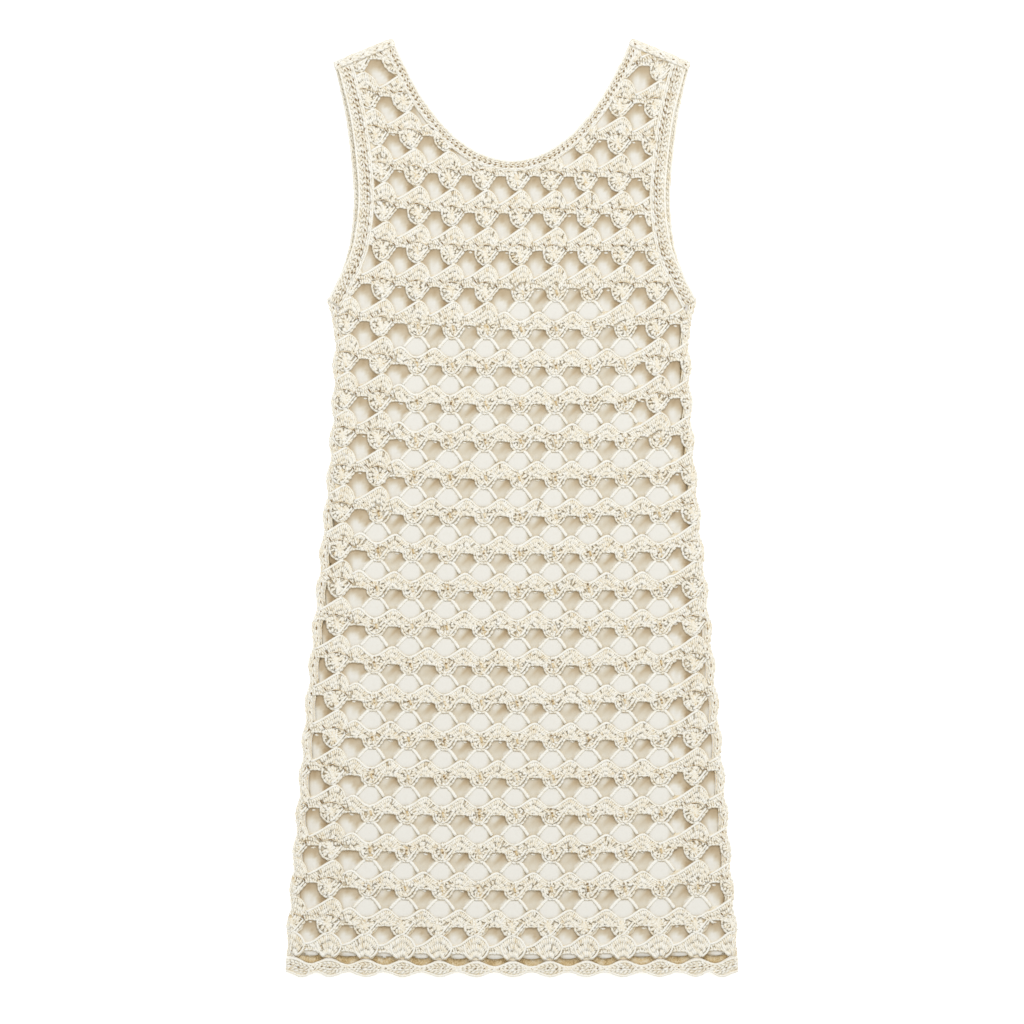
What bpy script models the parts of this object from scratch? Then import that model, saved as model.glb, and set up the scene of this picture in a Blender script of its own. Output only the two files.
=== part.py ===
"""A lined crochet mini dress, laid flat on its back with its front up.

Metres, +Z up off the surface it lies on, +Y towards the shoulders, +X to the viewer's right.
The origin is at the middle of the dress's box, on the surface.

The dress is made as the real one is: a front and a back of openwork crochet, a front and a back of
plain lining between them, a side seam down each side, a fold over each shoulder, and crocheted
borders round the neck, the armholes and the hem. Heights in the tables are measured from the
lowest point of the scalloped hem, and half widths from the middle of the dress.
"""

import math
from typing import NamedTuple

import bmesh
import bpy
from mathutils import Vector
from mathutils.geometry import delaunay_2d_cdt, intersect_line_line_2d

# ---------------------------------------------------------------- sizes of the dress
LENGTH = 0.9005  # shoulder's highest point to the hem's lowest scallop
GAP = 0.0003  # clearance between neighbouring pieces

LACE_WALL = 0.0030  # a crocheted layer
LINING_WALL = 0.0010  # a layer of lining
BORDER_WALL = 0.0035  # a border, a little firmer than the lace
BALL_RELIEF = 0.0030  # how far a shell's belly stands out of the lace
RELIEF_REACH = 0.0125  # radius of that belly

NECK_BORDER = 0.0096  # three rounds of tight crochet
ARM_BORDER = 0.0144  # four rounds
SIDE_SEAM = 0.0067  # the turned edge between front and back
SHOULDER_FOLD = 0.0075
SHOULDER_ROUNDING = 0.0022
HEM_HIGH = 0.0154  # the hem border's height at a scallop
HEM_LOW = 0.0094  # and between two scallops
SCALLOP = 0.0055  # depth of the scallops along the hem
HEM_SMILE = 0.0045  # how far the hem's corners lie above its middle
HEM_CORNER = HEM_HIGH + HEM_SMILE + GAP  # the side seams start above the hem's border
HEM_CLEARANCE = 0.0030
FAN_FOOT = 0.0048  # half width of a last-row fan where it stands on the border
FAN_SHOULDER = 0.0115  # and at the top of the gap beside it
FAN_GAP_TOP = 0.0215
LINING_HEM = 0.0240  # the lining ends this far above the lowest scallop
LINING_SIDE = 0.0080  # and this far inside the side seams
LINING_UNDER_BORDER = 0.0035  # it is sewn this far under the borders of the neck and armholes
BORDER_ROUNDING = 0.0008
FOLD_ROUNDING = 0.0014
SHARP_ANGLE = 50  # degrees, past which an edge is rounded
SAME_POINT = 1e-7
BACK_PEEK = 0.0045  # how far the back's armhole shows past the front's
PEEK_HEIGHTS = (0.6787, 0.8855)  # where it starts and ends to show
SIDE_WAVE = 0.0011  # the side edge swells at each row of shells
WAVE_STARTS = (0.0200, 0.0400)  # heights between which that swell comes in
WAVE_ENDS = (0.6000, 0.6300)  # and dies away under the arm
STEP = 0.0120  # length of the straight runs that follow a curve
HEM_RUNS = 78  # straight runs along the hem, six to a scallop
RUN_ON = 0.0200  # an edge is run on this far, to be sure that it crosses its neighbour


class Station(NamedTuple):
    """A point of an outline on the right half of the dress."""

    height: float
    half_width: float


SIDE_LINE = (
    Station(height=0.0060, half_width=0.2168),
    Station(height=0.0163, half_width=0.2168),
    Station(height=0.1891, half_width=0.2030),
    Station(height=0.3043, half_width=0.1929),
    Station(height=0.4195, half_width=0.1816),
    Station(height=0.5155, half_width=0.1732),
    Station(height=0.6067, half_width=0.1698),
    Station(height=0.6326, half_width=0.1728),
    Station(height=0.6499, half_width=0.1774),
)
ARMHOLE = (
    Station(height=0.6499, half_width=0.1774),
    Station(height=0.6643, half_width=0.1694),
    Station(height=0.6787, half_width=0.1632),
    Station(height=0.6931, half_width=0.1584),
    Station(height=0.7075, half_width=0.1550),
    Station(height=0.7363, half_width=0.1522),
    Station(height=0.7651, half_width=0.1526),
    Station(height=0.8150, half_width=0.1579),
    Station(height=0.8438, half_width=0.1632),
    Station(height=0.8784, half_width=0.1709),
)
NECKLINE = (
    Station(height=0.7838, half_width=0.0000),
    Station(height=0.7862, half_width=0.0168),
    Station(height=0.7920, half_width=0.0331),
    Station(height=0.8000, half_width=0.0459),
    Station(height=0.8150, half_width=0.0634),
    Station(height=0.8438, half_width=0.0859),
    Station(height=0.8784, half_width=0.1046),
    Station(height=0.9014, half_width=0.1152),
)

# ---------------------------------------------------------------- the crochet's repeat
ROW_PITCH = 0.0359
FIRST_ROW = 0.0470  # height of the lowest row of shells
ROWS = 24
COLUMNS = range(-7, 8)
PITCH_HEM = 0.0353  # between two columns of shells at the hem
PITCH_TOP = 0.0326  # and at PITCH_HEIGHT, where the dress is narrower
PITCH_HEIGHT = 0.7460
LEAN_HEM = 0.0010  # the middle column's place at the hem
LEAN_TOP = 0.0091  # and at PITCH_HEIGHT
STRAP_LEAN = 0.0230  # how far the columns turn outwards up the straps
STRAP_START = 0.7450  # from this height on
STRAP_MIDDLE = 0.1250  # half the distance between the middles of the straps
LARGEST_GAPS = 300
EDGE_CLEARANCE = 0.0022  # cloth left between a gap and the panel's edge


class RowRise(NamedTuple):
    """How far the ends of a row of shells lie above its middle."""

    height: float
    left: float
    right: float


ROW_RISE = (
    RowRise(height=0.00, left=0.0045, right=0.0045),
    RowRise(height=0.68, left=0.0058, right=0.0048),
    RowRise(height=0.76, left=0.0130, right=0.0020),
    RowRise(height=0.90, left=0.0200, right=0.0050),
)

# Gap outlines, in shares of the column and row pitch from the shell's centre or the middle of two.
ROUND_GAP = ((-0.13, -0.28), (-0.28, -0.50), (-0.15, -0.73), (0.15, -0.73), (0.28, -0.50), (0.13, -0.28))
WEDGE_GAP = ((-0.24, -0.16), (-0.05, -0.46), (0.05, -0.46), (0.24, -0.16), (0.18, -0.01), (-0.18, -0.01))
SKEW_GAP = ((-0.33, -0.30), (-0.25, -0.52), (0.06, -0.45), (0.21, -0.20), (0.16, -0.01), (-0.12, 0.00))
OPEN_TOP = 0.6450  # round gaps are filled with fans above this height,
OPEN_LEFT = 0.0500  # and within these distances of the sides
OPEN_RIGHT = 0.0330
OPEN_PEAK_COLUMNS = (0, 1, 2)  # the highest row with round gaps has them only here
FAN_CENTRE = 0.46  # a fan's belly above the shell below it, in row pitches

# ---------------------------------------------------------------- layers, from the surface up
BACK_TOP = LACE_WALL
LINING_BACK_LOW = BACK_TOP + GAP
LINING_FRONT_LOW = LINING_BACK_LOW + LINING_WALL + GAP
FRONT_LOW = LINING_FRONT_LOW + LINING_WALL + GAP
FRONT_TOP = FRONT_LOW + LACE_WALL
BORDER_TOP = FRONT_LOW + BORDER_WALL

CREAM_YARN = (0.80, 0.74, 0.61, 1.0)
OFF_WHITE_LINING = (0.86, 0.83, 0.76, 1.0)


# ---------------------------------------------------------------- plane geometry
def spline(points, step):
    """A smooth path through the points, in straight runs of about the step's length."""
    path = []
    for i in range(len(points) - 1):
        before = points[max(i - 1, 0)]
        start, end = points[i], points[i + 1]
        after = points[min(i + 2, len(points) - 1)]
        runs = max(1, round((end - start).length / step))
        for j in range(runs):
            t = j / runs
            path.append(
                0.5 * (2 * start + (end - before) * t
                       + (2 * before - 5 * start + 4 * end - after) * t ** 2
                       + (3 * start - before - 3 * end + after) * t ** 3)
            )
    return path + [points[-1].copy()]


def stations(table):
    return [Vector((row.half_width, row.height)) for row in table]


def blended(rows, height, field):
    """A table's value at a height, straight between its rows."""
    for low, high in zip(rows, rows[1:]):
        if height <= high.height:
            share = max(0.0, (height - low.height) / (high.height - low.height))
            return getattr(low, field) + share * (getattr(high, field) - getattr(low, field))
    return getattr(rows[-1], field)


def smooth_share(value, low, high):
    share = min(1.0, max(0.0, (value - low) / (high - low)))
    return share * share * (3 - 2 * share)


def moved_sideways(path, distance):
    """The path moved to its left by the distance."""
    moved = []
    for i, point in enumerate(path):
        along = path[min(i + 1, len(path) - 1)] - path[max(i - 1, 0)]
        moved.append(point + Vector((-along.y, along.x)).normalized() * distance)
    return moved


def lengthened(path):
    """The path with both ends run on straight."""
    first = path[0] + (path[0] - path[1]).normalized() * RUN_ON
    last = path[-1] + (path[-1] - path[-2]).normalized() * RUN_ON
    return [first, *path, last]


def crossing(first, second):
    """Where the first path crosses the second: a run of each, and the point."""
    for i in range(len(first) - 1):
        for j in range(len(second) - 1):
            meet = intersect_line_line_2d(first[i], first[i + 1], second[j], second[j + 1])
            if meet is not None:
                return i, j, meet
    raise ValueError("two edges of the dress don't cross")


def joined_at_crossing(first, second):
    """The first path up to where it crosses the second, then the second from there on."""
    i, j, meet = crossing(first, second)
    return [*first[: i + 1], meet, *second[j + 1:]]


def ended_at(first, second):
    """The first path up to where it crosses the second."""
    i, _, meet = crossing(first, second)
    return [*first[: i + 1], meet]


def mirrored(path):
    return [Vector((-point.x, point.y)) for point in reversed(path)]


def inside(point, outline):
    """Whether a point lies inside a closed outline."""
    found = False
    for a, b in zip(outline, outline[1:] + outline[:1]):
        if (a.y > point.y) != (b.y > point.y):
            if point.x < a.x + (point.y - a.y) * (b.x - a.x) / (b.y - a.y):
                found = not found
    return found


def distance_to(point, outline):
    """How far a point lies from a closed outline."""
    nearest = math.inf
    for a, b in zip(outline, outline[1:] + outline[:1]):
        along = b - a
        share = min(1.0, max(0.0, (point - a).dot(along) / along.length_squared))
        nearest = min(nearest, (point - a - along * share).length)
    return nearest


# ---------------------------------------------------------------- edges of the dress
def row_height(row):
    return FIRST_ROW + row * ROW_PITCH


def half_width(height):
    """The dress's half width at a height, without the swell at each row."""
    return blended(SIDE_LINE if height < ARMHOLE[0].height else ARMHOLE, height, "half_width")


def column_pitch(height):
    share = (height - FIRST_ROW) / (PITCH_HEIGHT - FIRST_ROW)
    return PITCH_HEM + (PITCH_TOP - PITCH_HEM) * share


def shell_place(column, row):
    """Where a shell of the repeat has its centre. Columns may be halves, for what lies between."""
    height = row_height(row)
    share = (height - FIRST_ROW) / (PITCH_HEIGHT - FIRST_ROW)
    x = LEAN_HEM + (LEAN_TOP - LEAN_HEM) * share + column * column_pitch(height)
    side = max(-1.0, min(1.0, x / STRAP_MIDDLE))
    x += side * STRAP_LEAN * max(0.0, (height - STRAP_START) / (LENGTH - STRAP_START)) ** 2
    across = x / half_width(height)
    rise = blended(ROW_RISE, height, "left" if x < 0 else "right")
    return Vector((x, height + rise * across * across))


def side_edge():
    """The right side from the hem to the underarm, swelling at each row of shells."""
    edge = []
    for point in spline(stations(SIDE_LINE), STEP):
        rows = (point.y - FIRST_ROW) / ROW_PITCH
        swell = SIDE_WAVE * math.cos(2 * math.pi * rows)
        taper = smooth_share(point.y, *WAVE_STARTS) * (1 - smooth_share(point.y, *WAVE_ENDS))
        edge.append(point + Vector((swell * taper, 0)))
    return edge


def armhole_edge(inset):
    """The right armhole from the underarm to the shoulder, moved in by the inset at its middle."""
    low, high = PEEK_HEIGHTS
    edge = []
    for point in spline(stations(ARMHOLE), STEP):
        share = min(1.0, max(0.0, (point.y - low) / (high - low)))
        edge.append(point - Vector((inset * (4 * share * (1 - share)) ** 0.5, 0)))
    return edge


def neck_edge(depth=0.0):
    """The right half of the neckline, or of a line inside it, from the shoulder down to the middle."""
    right = stations(NECKLINE)
    whole = [*reversed(right), *(Vector((-p.x, p.y)) for p in right[1:])]
    middle = [Vector((0.0, 0.0)), Vector((0.0, LENGTH))]
    return ended_at(moved_sideways(spline(whole, STEP), depth), middle)


def shoulder_line(inset):
    """The top of the right strap, from the armhole to the neck, moved down by the inset."""
    arm, neck = stations(ARMHOLE)[-1], stations(NECKLINE)[-1]
    return lengthened(moved_sideways([arm, neck], inset))


def hem_wave(x):
    """0 at a scallop and 1 between two."""
    columns = (x - LEAN_HEM) / PITCH_HEM
    return (1 - math.cos(2 * math.pi * columns)) / 2


def hem_rise(x):
    return HEM_SMILE * (x / SIDE_LINE[0].half_width) ** 2


def hem_stops():
    limit = SIDE_LINE[0].half_width
    return [limit * (2 * i / HEM_RUNS - 1) for i in range(HEM_RUNS + 1)]


def hem_border_upper_edge():
    return [Vector((x, hem_rise(x) + HEM_HIGH - (HEM_HIGH - HEM_LOW) * hem_wave(x))) for x in hem_stops()]


def side_line(inset, bottom):
    """The right side, moved in by the inset, from a height up to the underarm."""
    downwards = [p - Vector((inset, 0)) for p in reversed(side_edge())]
    return list(reversed(ended_at(downwards, [Vector((0.0, bottom)), Vector((LENGTH, bottom))])))


def panel_outline(peek, hem_points):
    """The edge of a crocheted panel inside its borders and seams."""
    side = side_line(SIDE_SEAM + GAP, HEM_CORNER)
    hem = [p for p in hem_points if abs(p.x) < side[0].x - HEM_CLEARANCE]
    arm = lengthened(moved_sideways(armhole_edge(peek), ARM_BORDER + GAP))
    right = joined_at_crossing(joined_at_crossing(side, arm), shoulder_line(SHOULDER_FOLD + GAP))
    right = joined_at_crossing(right, neck_edge(NECK_BORDER + GAP))
    return [*hem, *right, *mirrored(right)[1:]]


def plain_hem():
    """The lower edge of the back panel: it follows the border's upper edge."""
    return [p + Vector((0, GAP)) for p in hem_border_upper_edge()]


def notched_hem():
    """The front panel's lower edge: the last row's fans stand on the border with gaps between."""
    points = []
    for column in COLUMNS:
        x = LEAN_HEM + column * PITCH_HEM
        for dx, height in (
            (FAN_SHOULDER - PITCH_HEM, FAN_GAP_TOP),
            (-FAN_SHOULDER, FAN_GAP_TOP),
            (-FAN_FOOT, HEM_HIGH + GAP),
            (FAN_FOOT, HEM_HIGH + GAP),
        ):
            points.append(Vector((x + dx, hem_rise(x + dx) + height)))
    return points


# ---------------------------------------------------------------- gaps and shells of the front
def gap_outline(shape, centre, pitch):
    return [centre + Vector((dx * pitch, dy * ROW_PITCH)) for dx, dy in shape]


def is_open(column, row):
    """Whether the round gap below a shell is open, or filled with a fan."""
    centre = shell_place(column, row)
    height = centre.y - ROW_PITCH / 2
    left, right = centre.x + half_width(height), half_width(height) - centre.x
    if row == 0 or height > OPEN_TOP:
        return False
    if height > OPEN_TOP - ROW_PITCH:
        return column in OPEN_PEAK_COLUMNS
    return left > OPEN_LEFT and right > OPEN_RIGHT


def lace_gaps(outline):
    """The outlines of the gaps that are cut: each repeat's largest first, then the next from the hem up."""
    largest, next_largest = [], []
    for row in range(ROWS):
        for column in COLUMNS:
            centre, middle = shell_place(column, row), shell_place(column + 0.5, row)
            pitch = column_pitch(centre.y)
            opened = is_open(column, row)
            if opened:
                largest.append(gap_outline(ROUND_GAP, centre, pitch))
            wedge = WEDGE_GAP if opened or row == 0 else SKEW_GAP
            (next_largest if opened else largest).append(gap_outline(wedge, middle, pitch))

    def fits(gap):
        return all(inside(p, outline) and distance_to(p, outline) > EDGE_CLEARANCE for p in gap)

    return list(filter(fits, largest + next_largest))[:LARGEST_GAPS]


def bellies(outline):
    """The centres of the shells and fans that stand out of the front."""
    found = []
    for row in range(ROWS):
        for column in COLUMNS:
            shell = shell_place(column, row)
            found.append(shell)
            if not is_open(column, row + 1):
                found.append(shell + Vector((0, FAN_CENTRE * ROW_PITCH)))
            if row == 0:
                found.append(shell - Vector((0, (1 - FAN_CENTRE) * ROW_PITCH)))
    return [p for p in found if inside(p, outline) and distance_to(p, outline) > EDGE_CLEARANCE]


# ---------------------------------------------------------------- solids
def material(name, colour):
    made = bpy.data.materials.get(name) or bpy.data.materials.new(name)
    made.use_nodes = True
    shader = made.node_tree.nodes["Principled BSDF"]
    shader.inputs["Base Color"].default_value = colour
    shader.inputs["Roughness"].default_value = 0.9
    shader.inputs["Metallic"].default_value = 0.0
    return made


def flat_sheet(outline, gaps, inner):
    """The points and triangles of a flat sheet inside an outline and outside the gaps."""
    points, loops = [], []
    for loop in [outline, *gaps]:
        loops.append(list(range(len(points), len(points) + len(loop))))
        points.extend(loop)
    inside_loops = 1
    verts, _, faces, _, _, owners = delaunay_2d_cdt(
        [*points, *inner], [], loops, inside_loops, SAME_POINT, True)
    return verts, [face for face, owner in zip(faces, owners) if owner == [0]]


def cloth(name, outline, low, high, finish, gaps=(), inner=(), bevel=0.0):
    """A layer of cloth as one solid.

    The outline and gaps are in half widths and heights. low and high give the wall's two sides at
    a point. inner points are added to the surface, for relief.
    """
    flat, triangles = flat_sheet(outline, gaps, inner)
    mesh = bmesh.new()
    verts = [mesh.verts.new((p.x, p.y - LENGTH / 2, 0.0)) for p in flat]
    under = [mesh.faces.new([verts[i] for i in triangle]) for triangle in triangles]
    loose = [v for v in verts if not v.link_faces]
    bmesh.ops.delete(mesh, geom=loose, context="VERTS")
    raised = bmesh.ops.extrude_face_region(mesh, geom=under)["geom"]
    top = {v for v in raised if isinstance(v, bmesh.types.BMVert)}
    for vert in mesh.verts:
        side = high if vert in top else low
        vert.co.z = side(Vector((vert.co.x, vert.co.y + LENGTH / 2)))
    bmesh.ops.recalc_face_normals(mesh, faces=mesh.faces)
    data = bpy.data.meshes.new(name)
    mesh.to_mesh(data)
    mesh.free()
    made = bpy.data.objects.new(name, data)
    made.data.materials.append(finish)
    bpy.data.collections["crochet_dress"].objects.link(made)
    if bevel:
        rounding = made.modifiers.new("rounded_edge", "BEVEL")
        rounding.width = bevel
        rounding.segments = 1
        rounding.limit_method = "ANGLE"
        rounding.angle_limit = math.radians(SHARP_ANGLE)
    return made


def both_sides(name, outline, low, high, finish, bevel):
    """A level piece of the dress's right side, and its mirror image on the left."""
    cloth(f"{name}_right", outline, level(low), level(high), finish, bevel=bevel)
    cloth(f"{name}_left", mirrored(outline), level(low), level(high), finish, bevel=bevel)


def level(height):
    return lambda point: height


def relief(base, centres):
    """A side at the base height, with the bellies of the shells and fans standing out of it."""
    def surface(point):
        nearest = min((point - centre).length for centre in centres)
        return base + BALL_RELIEF * max(0.0, 1 - (nearest / RELIEF_REACH) ** 2)
    return surface


def hem_border_outline():
    lower = [Vector((x, hem_rise(x) + SCALLOP * hem_wave(x))) for x in hem_stops()]
    return [*lower, *reversed(hem_border_upper_edge())]


def arm_border_outline(inset):
    outer = armhole_edge(inset)
    inner = moved_sideways(outer, ARM_BORDER)
    cut = shoulder_line(SHOULDER_FOLD + GAP)
    return [*ended_at(outer, cut), *reversed(ended_at(lengthened(inner)[1:], cut))]


def neck_border_outline():
    cut = shoulder_line(SHOULDER_FOLD + GAP)
    edge = ended_at(list(reversed(neck_edge())), cut)
    under = ended_at(list(reversed(neck_edge(NECK_BORDER))), cut)
    return [*mirrored(under[1:]), *under, *reversed(edge), *reversed(mirrored(edge[1:]))]


def shoulder_outline():
    """The fold along the top of the right strap, with its two corners rounded off."""
    low = shoulder_line(SHOULDER_FOLD)
    arm_low = ended_at(armhole_edge(0.0), low)[-1]
    neck_low = ended_at(list(reversed(neck_edge())), low)[-1]
    arm, neck = stations(ARMHOLE)[-1], stations(NECKLINE)[-1]
    along = (neck - arm).normalized() * SHOULDER_ROUNDING
    return [
        neck_low,
        arm_low,
        arm + (arm_low - arm).normalized() * SHOULDER_ROUNDING,
        arm + along,
        neck - along,
        neck + (neck_low - neck).normalized() * SHOULDER_ROUNDING,
    ]


def side_seam_outline():
    """The right side seam, from the hem's border up to the end of the armhole's."""
    arm = armhole_edge(0.0)
    cut = lengthened(moved_sideways([arm[0], moved_sideways(arm, ARM_BORDER)[0]], GAP))
    outer, inner = side_line(0.0, HEM_CORNER), side_line(SIDE_SEAM, HEM_CORNER)
    return [*ended_at(outer, cut), *reversed(ended_at(inner, cut))]


def lining_outline():
    """The lining's edge: inside the side seams, and sewn under the borders of neck and armholes."""
    side = side_line(SIDE_SEAM + LINING_SIDE, LINING_HEM)
    arm = lengthened(moved_sideways(armhole_edge(BACK_PEEK), ARM_BORDER - LINING_UNDER_BORDER))
    right = joined_at_crossing(lengthened(side)[1:], arm)
    right = joined_at_crossing(right, shoulder_line(SHOULDER_FOLD + GAP))
    right = joined_at_crossing(right, neck_edge(NECK_BORDER - LINING_UNDER_BORDER))
    return [*right, *mirrored(right)[1:]]


def build():
    for thing in list(bpy.data.objects):
        bpy.data.objects.remove(thing)
    collection = bpy.data.collections.new("crochet_dress")
    bpy.context.scene.collection.children.link(collection)
    yarn = material("cream_cotton_yarn", CREAM_YARN)
    lining = material("off_white_lining", OFF_WHITE_LINING)

    cloth("back_panel", panel_outline(0.0, plain_hem()), level(0.0), level(BACK_TOP), yarn)
    outline = panel_outline(BACK_PEEK, notched_hem())
    centres = bellies(outline)
    cloth("front_panel", outline, level(FRONT_LOW), relief(FRONT_TOP, centres), yarn,
          gaps=lace_gaps(outline), inner=centres)
    for name, low in (("lining_back", LINING_BACK_LOW), ("lining_front", LINING_FRONT_LOW)):
        cloth(name, lining_outline(), level(low), level(low + LINING_WALL), lining)

    for side, low, high, peek, rounding in (
        ("back", 0.0, BACK_TOP, 0.0, 0.0),
        ("front", FRONT_LOW, BORDER_TOP, BACK_PEEK, BORDER_ROUNDING),
    ):
        cloth(f"hem_border_{side}", hem_border_outline(), level(low), level(high), yarn)
        cloth(f"neck_border_{side}", neck_border_outline(), level(low), level(high), yarn, bevel=rounding)
        both_sides(f"arm_border_{side}", arm_border_outline(peek), low, high, yarn, rounding)
    both_sides("side_seam", side_seam_outline(), 0.0, BORDER_TOP, yarn, FOLD_ROUNDING)
    both_sides("shoulder_fold", shoulder_outline(), 0.0, BORDER_TOP, yarn, FOLD_ROUNDING)


build()
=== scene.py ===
"""The looks of a lined crochet mini dress, laid flat on its back with its front up.

Metres, +Z up off the surface it lies on, +Y towards the shoulders, +X to the viewer's right.
The crochet is made of strands of yarn, as the real one is. A thin ground of the same yarn, with
all its gaps cut, lies under the strands and carries them, and the lining lies below that.
"""

import logging
import math
from dataclasses import dataclass, field
from enum import Enum
from typing import Iterator, NamedTuple, Optional, Sequence, Union

import bpy
import numpy as np
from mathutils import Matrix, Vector
from mathutils.geometry import delaunay_2d_cdt


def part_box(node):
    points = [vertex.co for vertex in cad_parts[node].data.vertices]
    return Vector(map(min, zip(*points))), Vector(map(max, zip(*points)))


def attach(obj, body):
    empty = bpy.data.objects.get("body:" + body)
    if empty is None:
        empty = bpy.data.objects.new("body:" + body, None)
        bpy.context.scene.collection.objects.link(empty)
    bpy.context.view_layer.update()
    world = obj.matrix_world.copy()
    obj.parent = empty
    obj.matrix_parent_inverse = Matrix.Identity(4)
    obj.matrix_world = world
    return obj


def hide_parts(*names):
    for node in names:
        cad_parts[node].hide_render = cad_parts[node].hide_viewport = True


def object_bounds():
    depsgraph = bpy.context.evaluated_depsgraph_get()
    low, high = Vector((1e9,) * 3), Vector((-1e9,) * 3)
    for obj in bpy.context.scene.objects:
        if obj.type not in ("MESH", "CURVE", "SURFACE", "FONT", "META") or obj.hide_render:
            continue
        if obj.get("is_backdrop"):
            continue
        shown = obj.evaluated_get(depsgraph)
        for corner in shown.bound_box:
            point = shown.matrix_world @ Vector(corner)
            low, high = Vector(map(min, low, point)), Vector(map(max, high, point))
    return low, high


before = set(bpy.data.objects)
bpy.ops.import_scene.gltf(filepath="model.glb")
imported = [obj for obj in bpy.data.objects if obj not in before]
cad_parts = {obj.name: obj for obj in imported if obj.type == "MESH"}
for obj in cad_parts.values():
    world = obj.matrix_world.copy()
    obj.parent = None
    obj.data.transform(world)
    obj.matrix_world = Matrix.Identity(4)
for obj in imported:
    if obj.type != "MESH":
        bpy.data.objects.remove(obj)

CAD_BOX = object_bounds()
BODY = "root"
YARN_SLOT = "cotton_yarn"
LINING_SLOT = "lining_cloth"
MM = 0.001
LENGTH = CAD_BOX[1].y - CAD_BOX[0].y
SEED = 20
log = logging.getLogger("crochet_dress")

Array = np.ndarray
Amount = Union[float, Array]
Pair = tuple[float, float]
Triple = tuple[float, float, float]
Piece = bpy.types.Object


# ---- paths in the plane of the cloth
def smooth_path(points: Array, step: float) -> Array:
    """A smooth path through points.

    Args:
        points: The points to pass, one a row, in two or three coordinates.
        step: The length of its straight runs.

    Returns:
        The path's points.
    """
    runs = []
    last = len(points) - 1
    for i in range(last):
        before, start = points[max(i - 1, 0)], points[i]
        end, after = points[i + 1], points[min(i + 2, last)]
        count = max(1, round(float(np.linalg.norm(end - start)) / step))
        t = (np.arange(count) / count)[:, None]
        runs.append(
            0.5 * (2 * start + (end - before) * t
                   + (2 * before - 5 * start + 4 * end - after) * t ** 2
                   + (3 * start - before - 3 * end + after) * t ** 3)
        )
    return np.vstack([*runs, points[last][None]])


def lengths_along(path: Array) -> Array:
    """The distance of each point of a path from its start."""
    return np.concatenate([[0.0], np.cumsum(np.linalg.norm(np.diff(path, axis=0), axis=1))])


def along_path(path: Array, places: Array) -> Array:
    """The points of a path at some distances from its start."""
    lengths = lengths_along(path)
    return np.stack([np.interp(places, lengths, axis) for axis in path.T], axis=-1)


def resampled(path: Array, count: int) -> Array:
    """The path in a number of points at even distances."""
    return along_path(path, np.linspace(0.0, lengths_along(path)[-1], count))


def left_of(path: Array) -> Array:
    """The direction to the left of a path in the plane at each of its points."""
    ahead = np.gradient(path, axis=0)
    left = np.stack([-ahead[:, 1], ahead[:, 0]], axis=-1)
    return left / np.linalg.norm(left, axis=1, keepdims=True)


def moved_sideways(path: Array, distance: float) -> Array:
    """The path moved to its left by a distance."""
    return path + left_of(path) * distance


def lengthened(path: Array, run_on: float = 0.02) -> Array:
    """The path with both ends run on straight."""
    first, last = path[0] - path[1], path[-1] - path[-2]
    first = path[0] + first / np.linalg.norm(first) * run_on
    last = path[-1] + last / np.linalg.norm(last) * run_on
    return np.vstack([first, path, last])


def mirrored(path: Array) -> Array:
    """The path's mirror image on the other side of the dress, run the other way."""
    return path[::-1] * (-1.0, 1.0)


def crossing(first: Array, second: Array) -> tuple[int, int, Array]:
    """Where the first path crosses the second.

    Returns:
        The run of each path in which they cross, and the point.
    """
    along, across = np.diff(first, axis=0)[:, None], np.diff(second, axis=0)[None]
    apart = second[None, :-1] - first[:-1, None]

    def cross(a: Array, b: Array) -> Array:
        return a[..., 0] * b[..., 1] - a[..., 1] * b[..., 0]

    scale = cross(along, across)
    scale = np.where(np.abs(scale) < 1e-15, 1e-15, scale)
    share, other = cross(apart, across) / scale, cross(apart, along) / scale
    found = np.argwhere((share >= 0) & (share <= 1) & (other >= 0) & (other <= 1))
    if not len(found):
        raise ValueError("two edges of the dress don't cross")
    i, j = found[0]
    return int(i), int(j), first[i] + (first[i + 1] - first[i]) * share[i, j]


def ended_at(first: Array, second: Array) -> Array:
    """The first path up to where it crosses the second."""
    i, _, meet = crossing(first, second)
    return np.vstack([first[: i + 1], meet])


def joined_at_crossing(first: Array, second: Array) -> Array:
    """The first path up to where it crosses the second, then the second from there on."""
    i, j, meet = crossing(first, second)
    return np.vstack([first[: i + 1], meet, second[j + 1:]])


def inside(points: Array, outline: Array) -> Array:
    """Which points lie inside a closed outline."""
    x, y = points[:, 0, None], points[:, 1, None]
    a, b = outline, np.roll(outline, -1, axis=0)
    rise = np.where(a[:, 1] == b[:, 1], 1.0, b[:, 1] - a[:, 1])
    spans = (a[:, 1] > y) != (b[:, 1] > y)
    return ((spans & (x < a[:, 0] + (y - a[:, 1]) * (b[:, 0] - a[:, 0]) / rise)).sum(axis=1) % 2) == 1


def nearest_on(points: Array, outline: Array) -> Array:
    """The point of a closed outline that lies nearest to each point."""
    a = outline
    along = np.roll(outline, -1, axis=0) - a
    squared = np.maximum((along ** 2).sum(axis=1), 1e-18)
    found = []
    for block in np.array_split(points, max(1, len(points) // 2000)):
        share = ((block[:, None] - a) * along).sum(axis=2) / squared
        spots = a + along * np.clip(share, 0, 1)[..., None]
        best = ((spots - block[:, None]) ** 2).sum(axis=2).argmin(axis=1)
        found.append(spots[np.arange(len(block)), best])
    return np.vstack(found)


def smooth_share(value: Array, low: float, high: float) -> Array:
    """0 below low and 1 above high, with a soft step between. low may be the higher one."""
    share = np.clip((value - low) / (high - low), 0, 1)
    return share * share * (3 - 2 * share)


# ---- the dress's shape
class Station(NamedTuple):
    """A point of an edge on the right half of the dress, measured from the hem's lowest point."""

    height: float
    half_width: float


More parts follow.
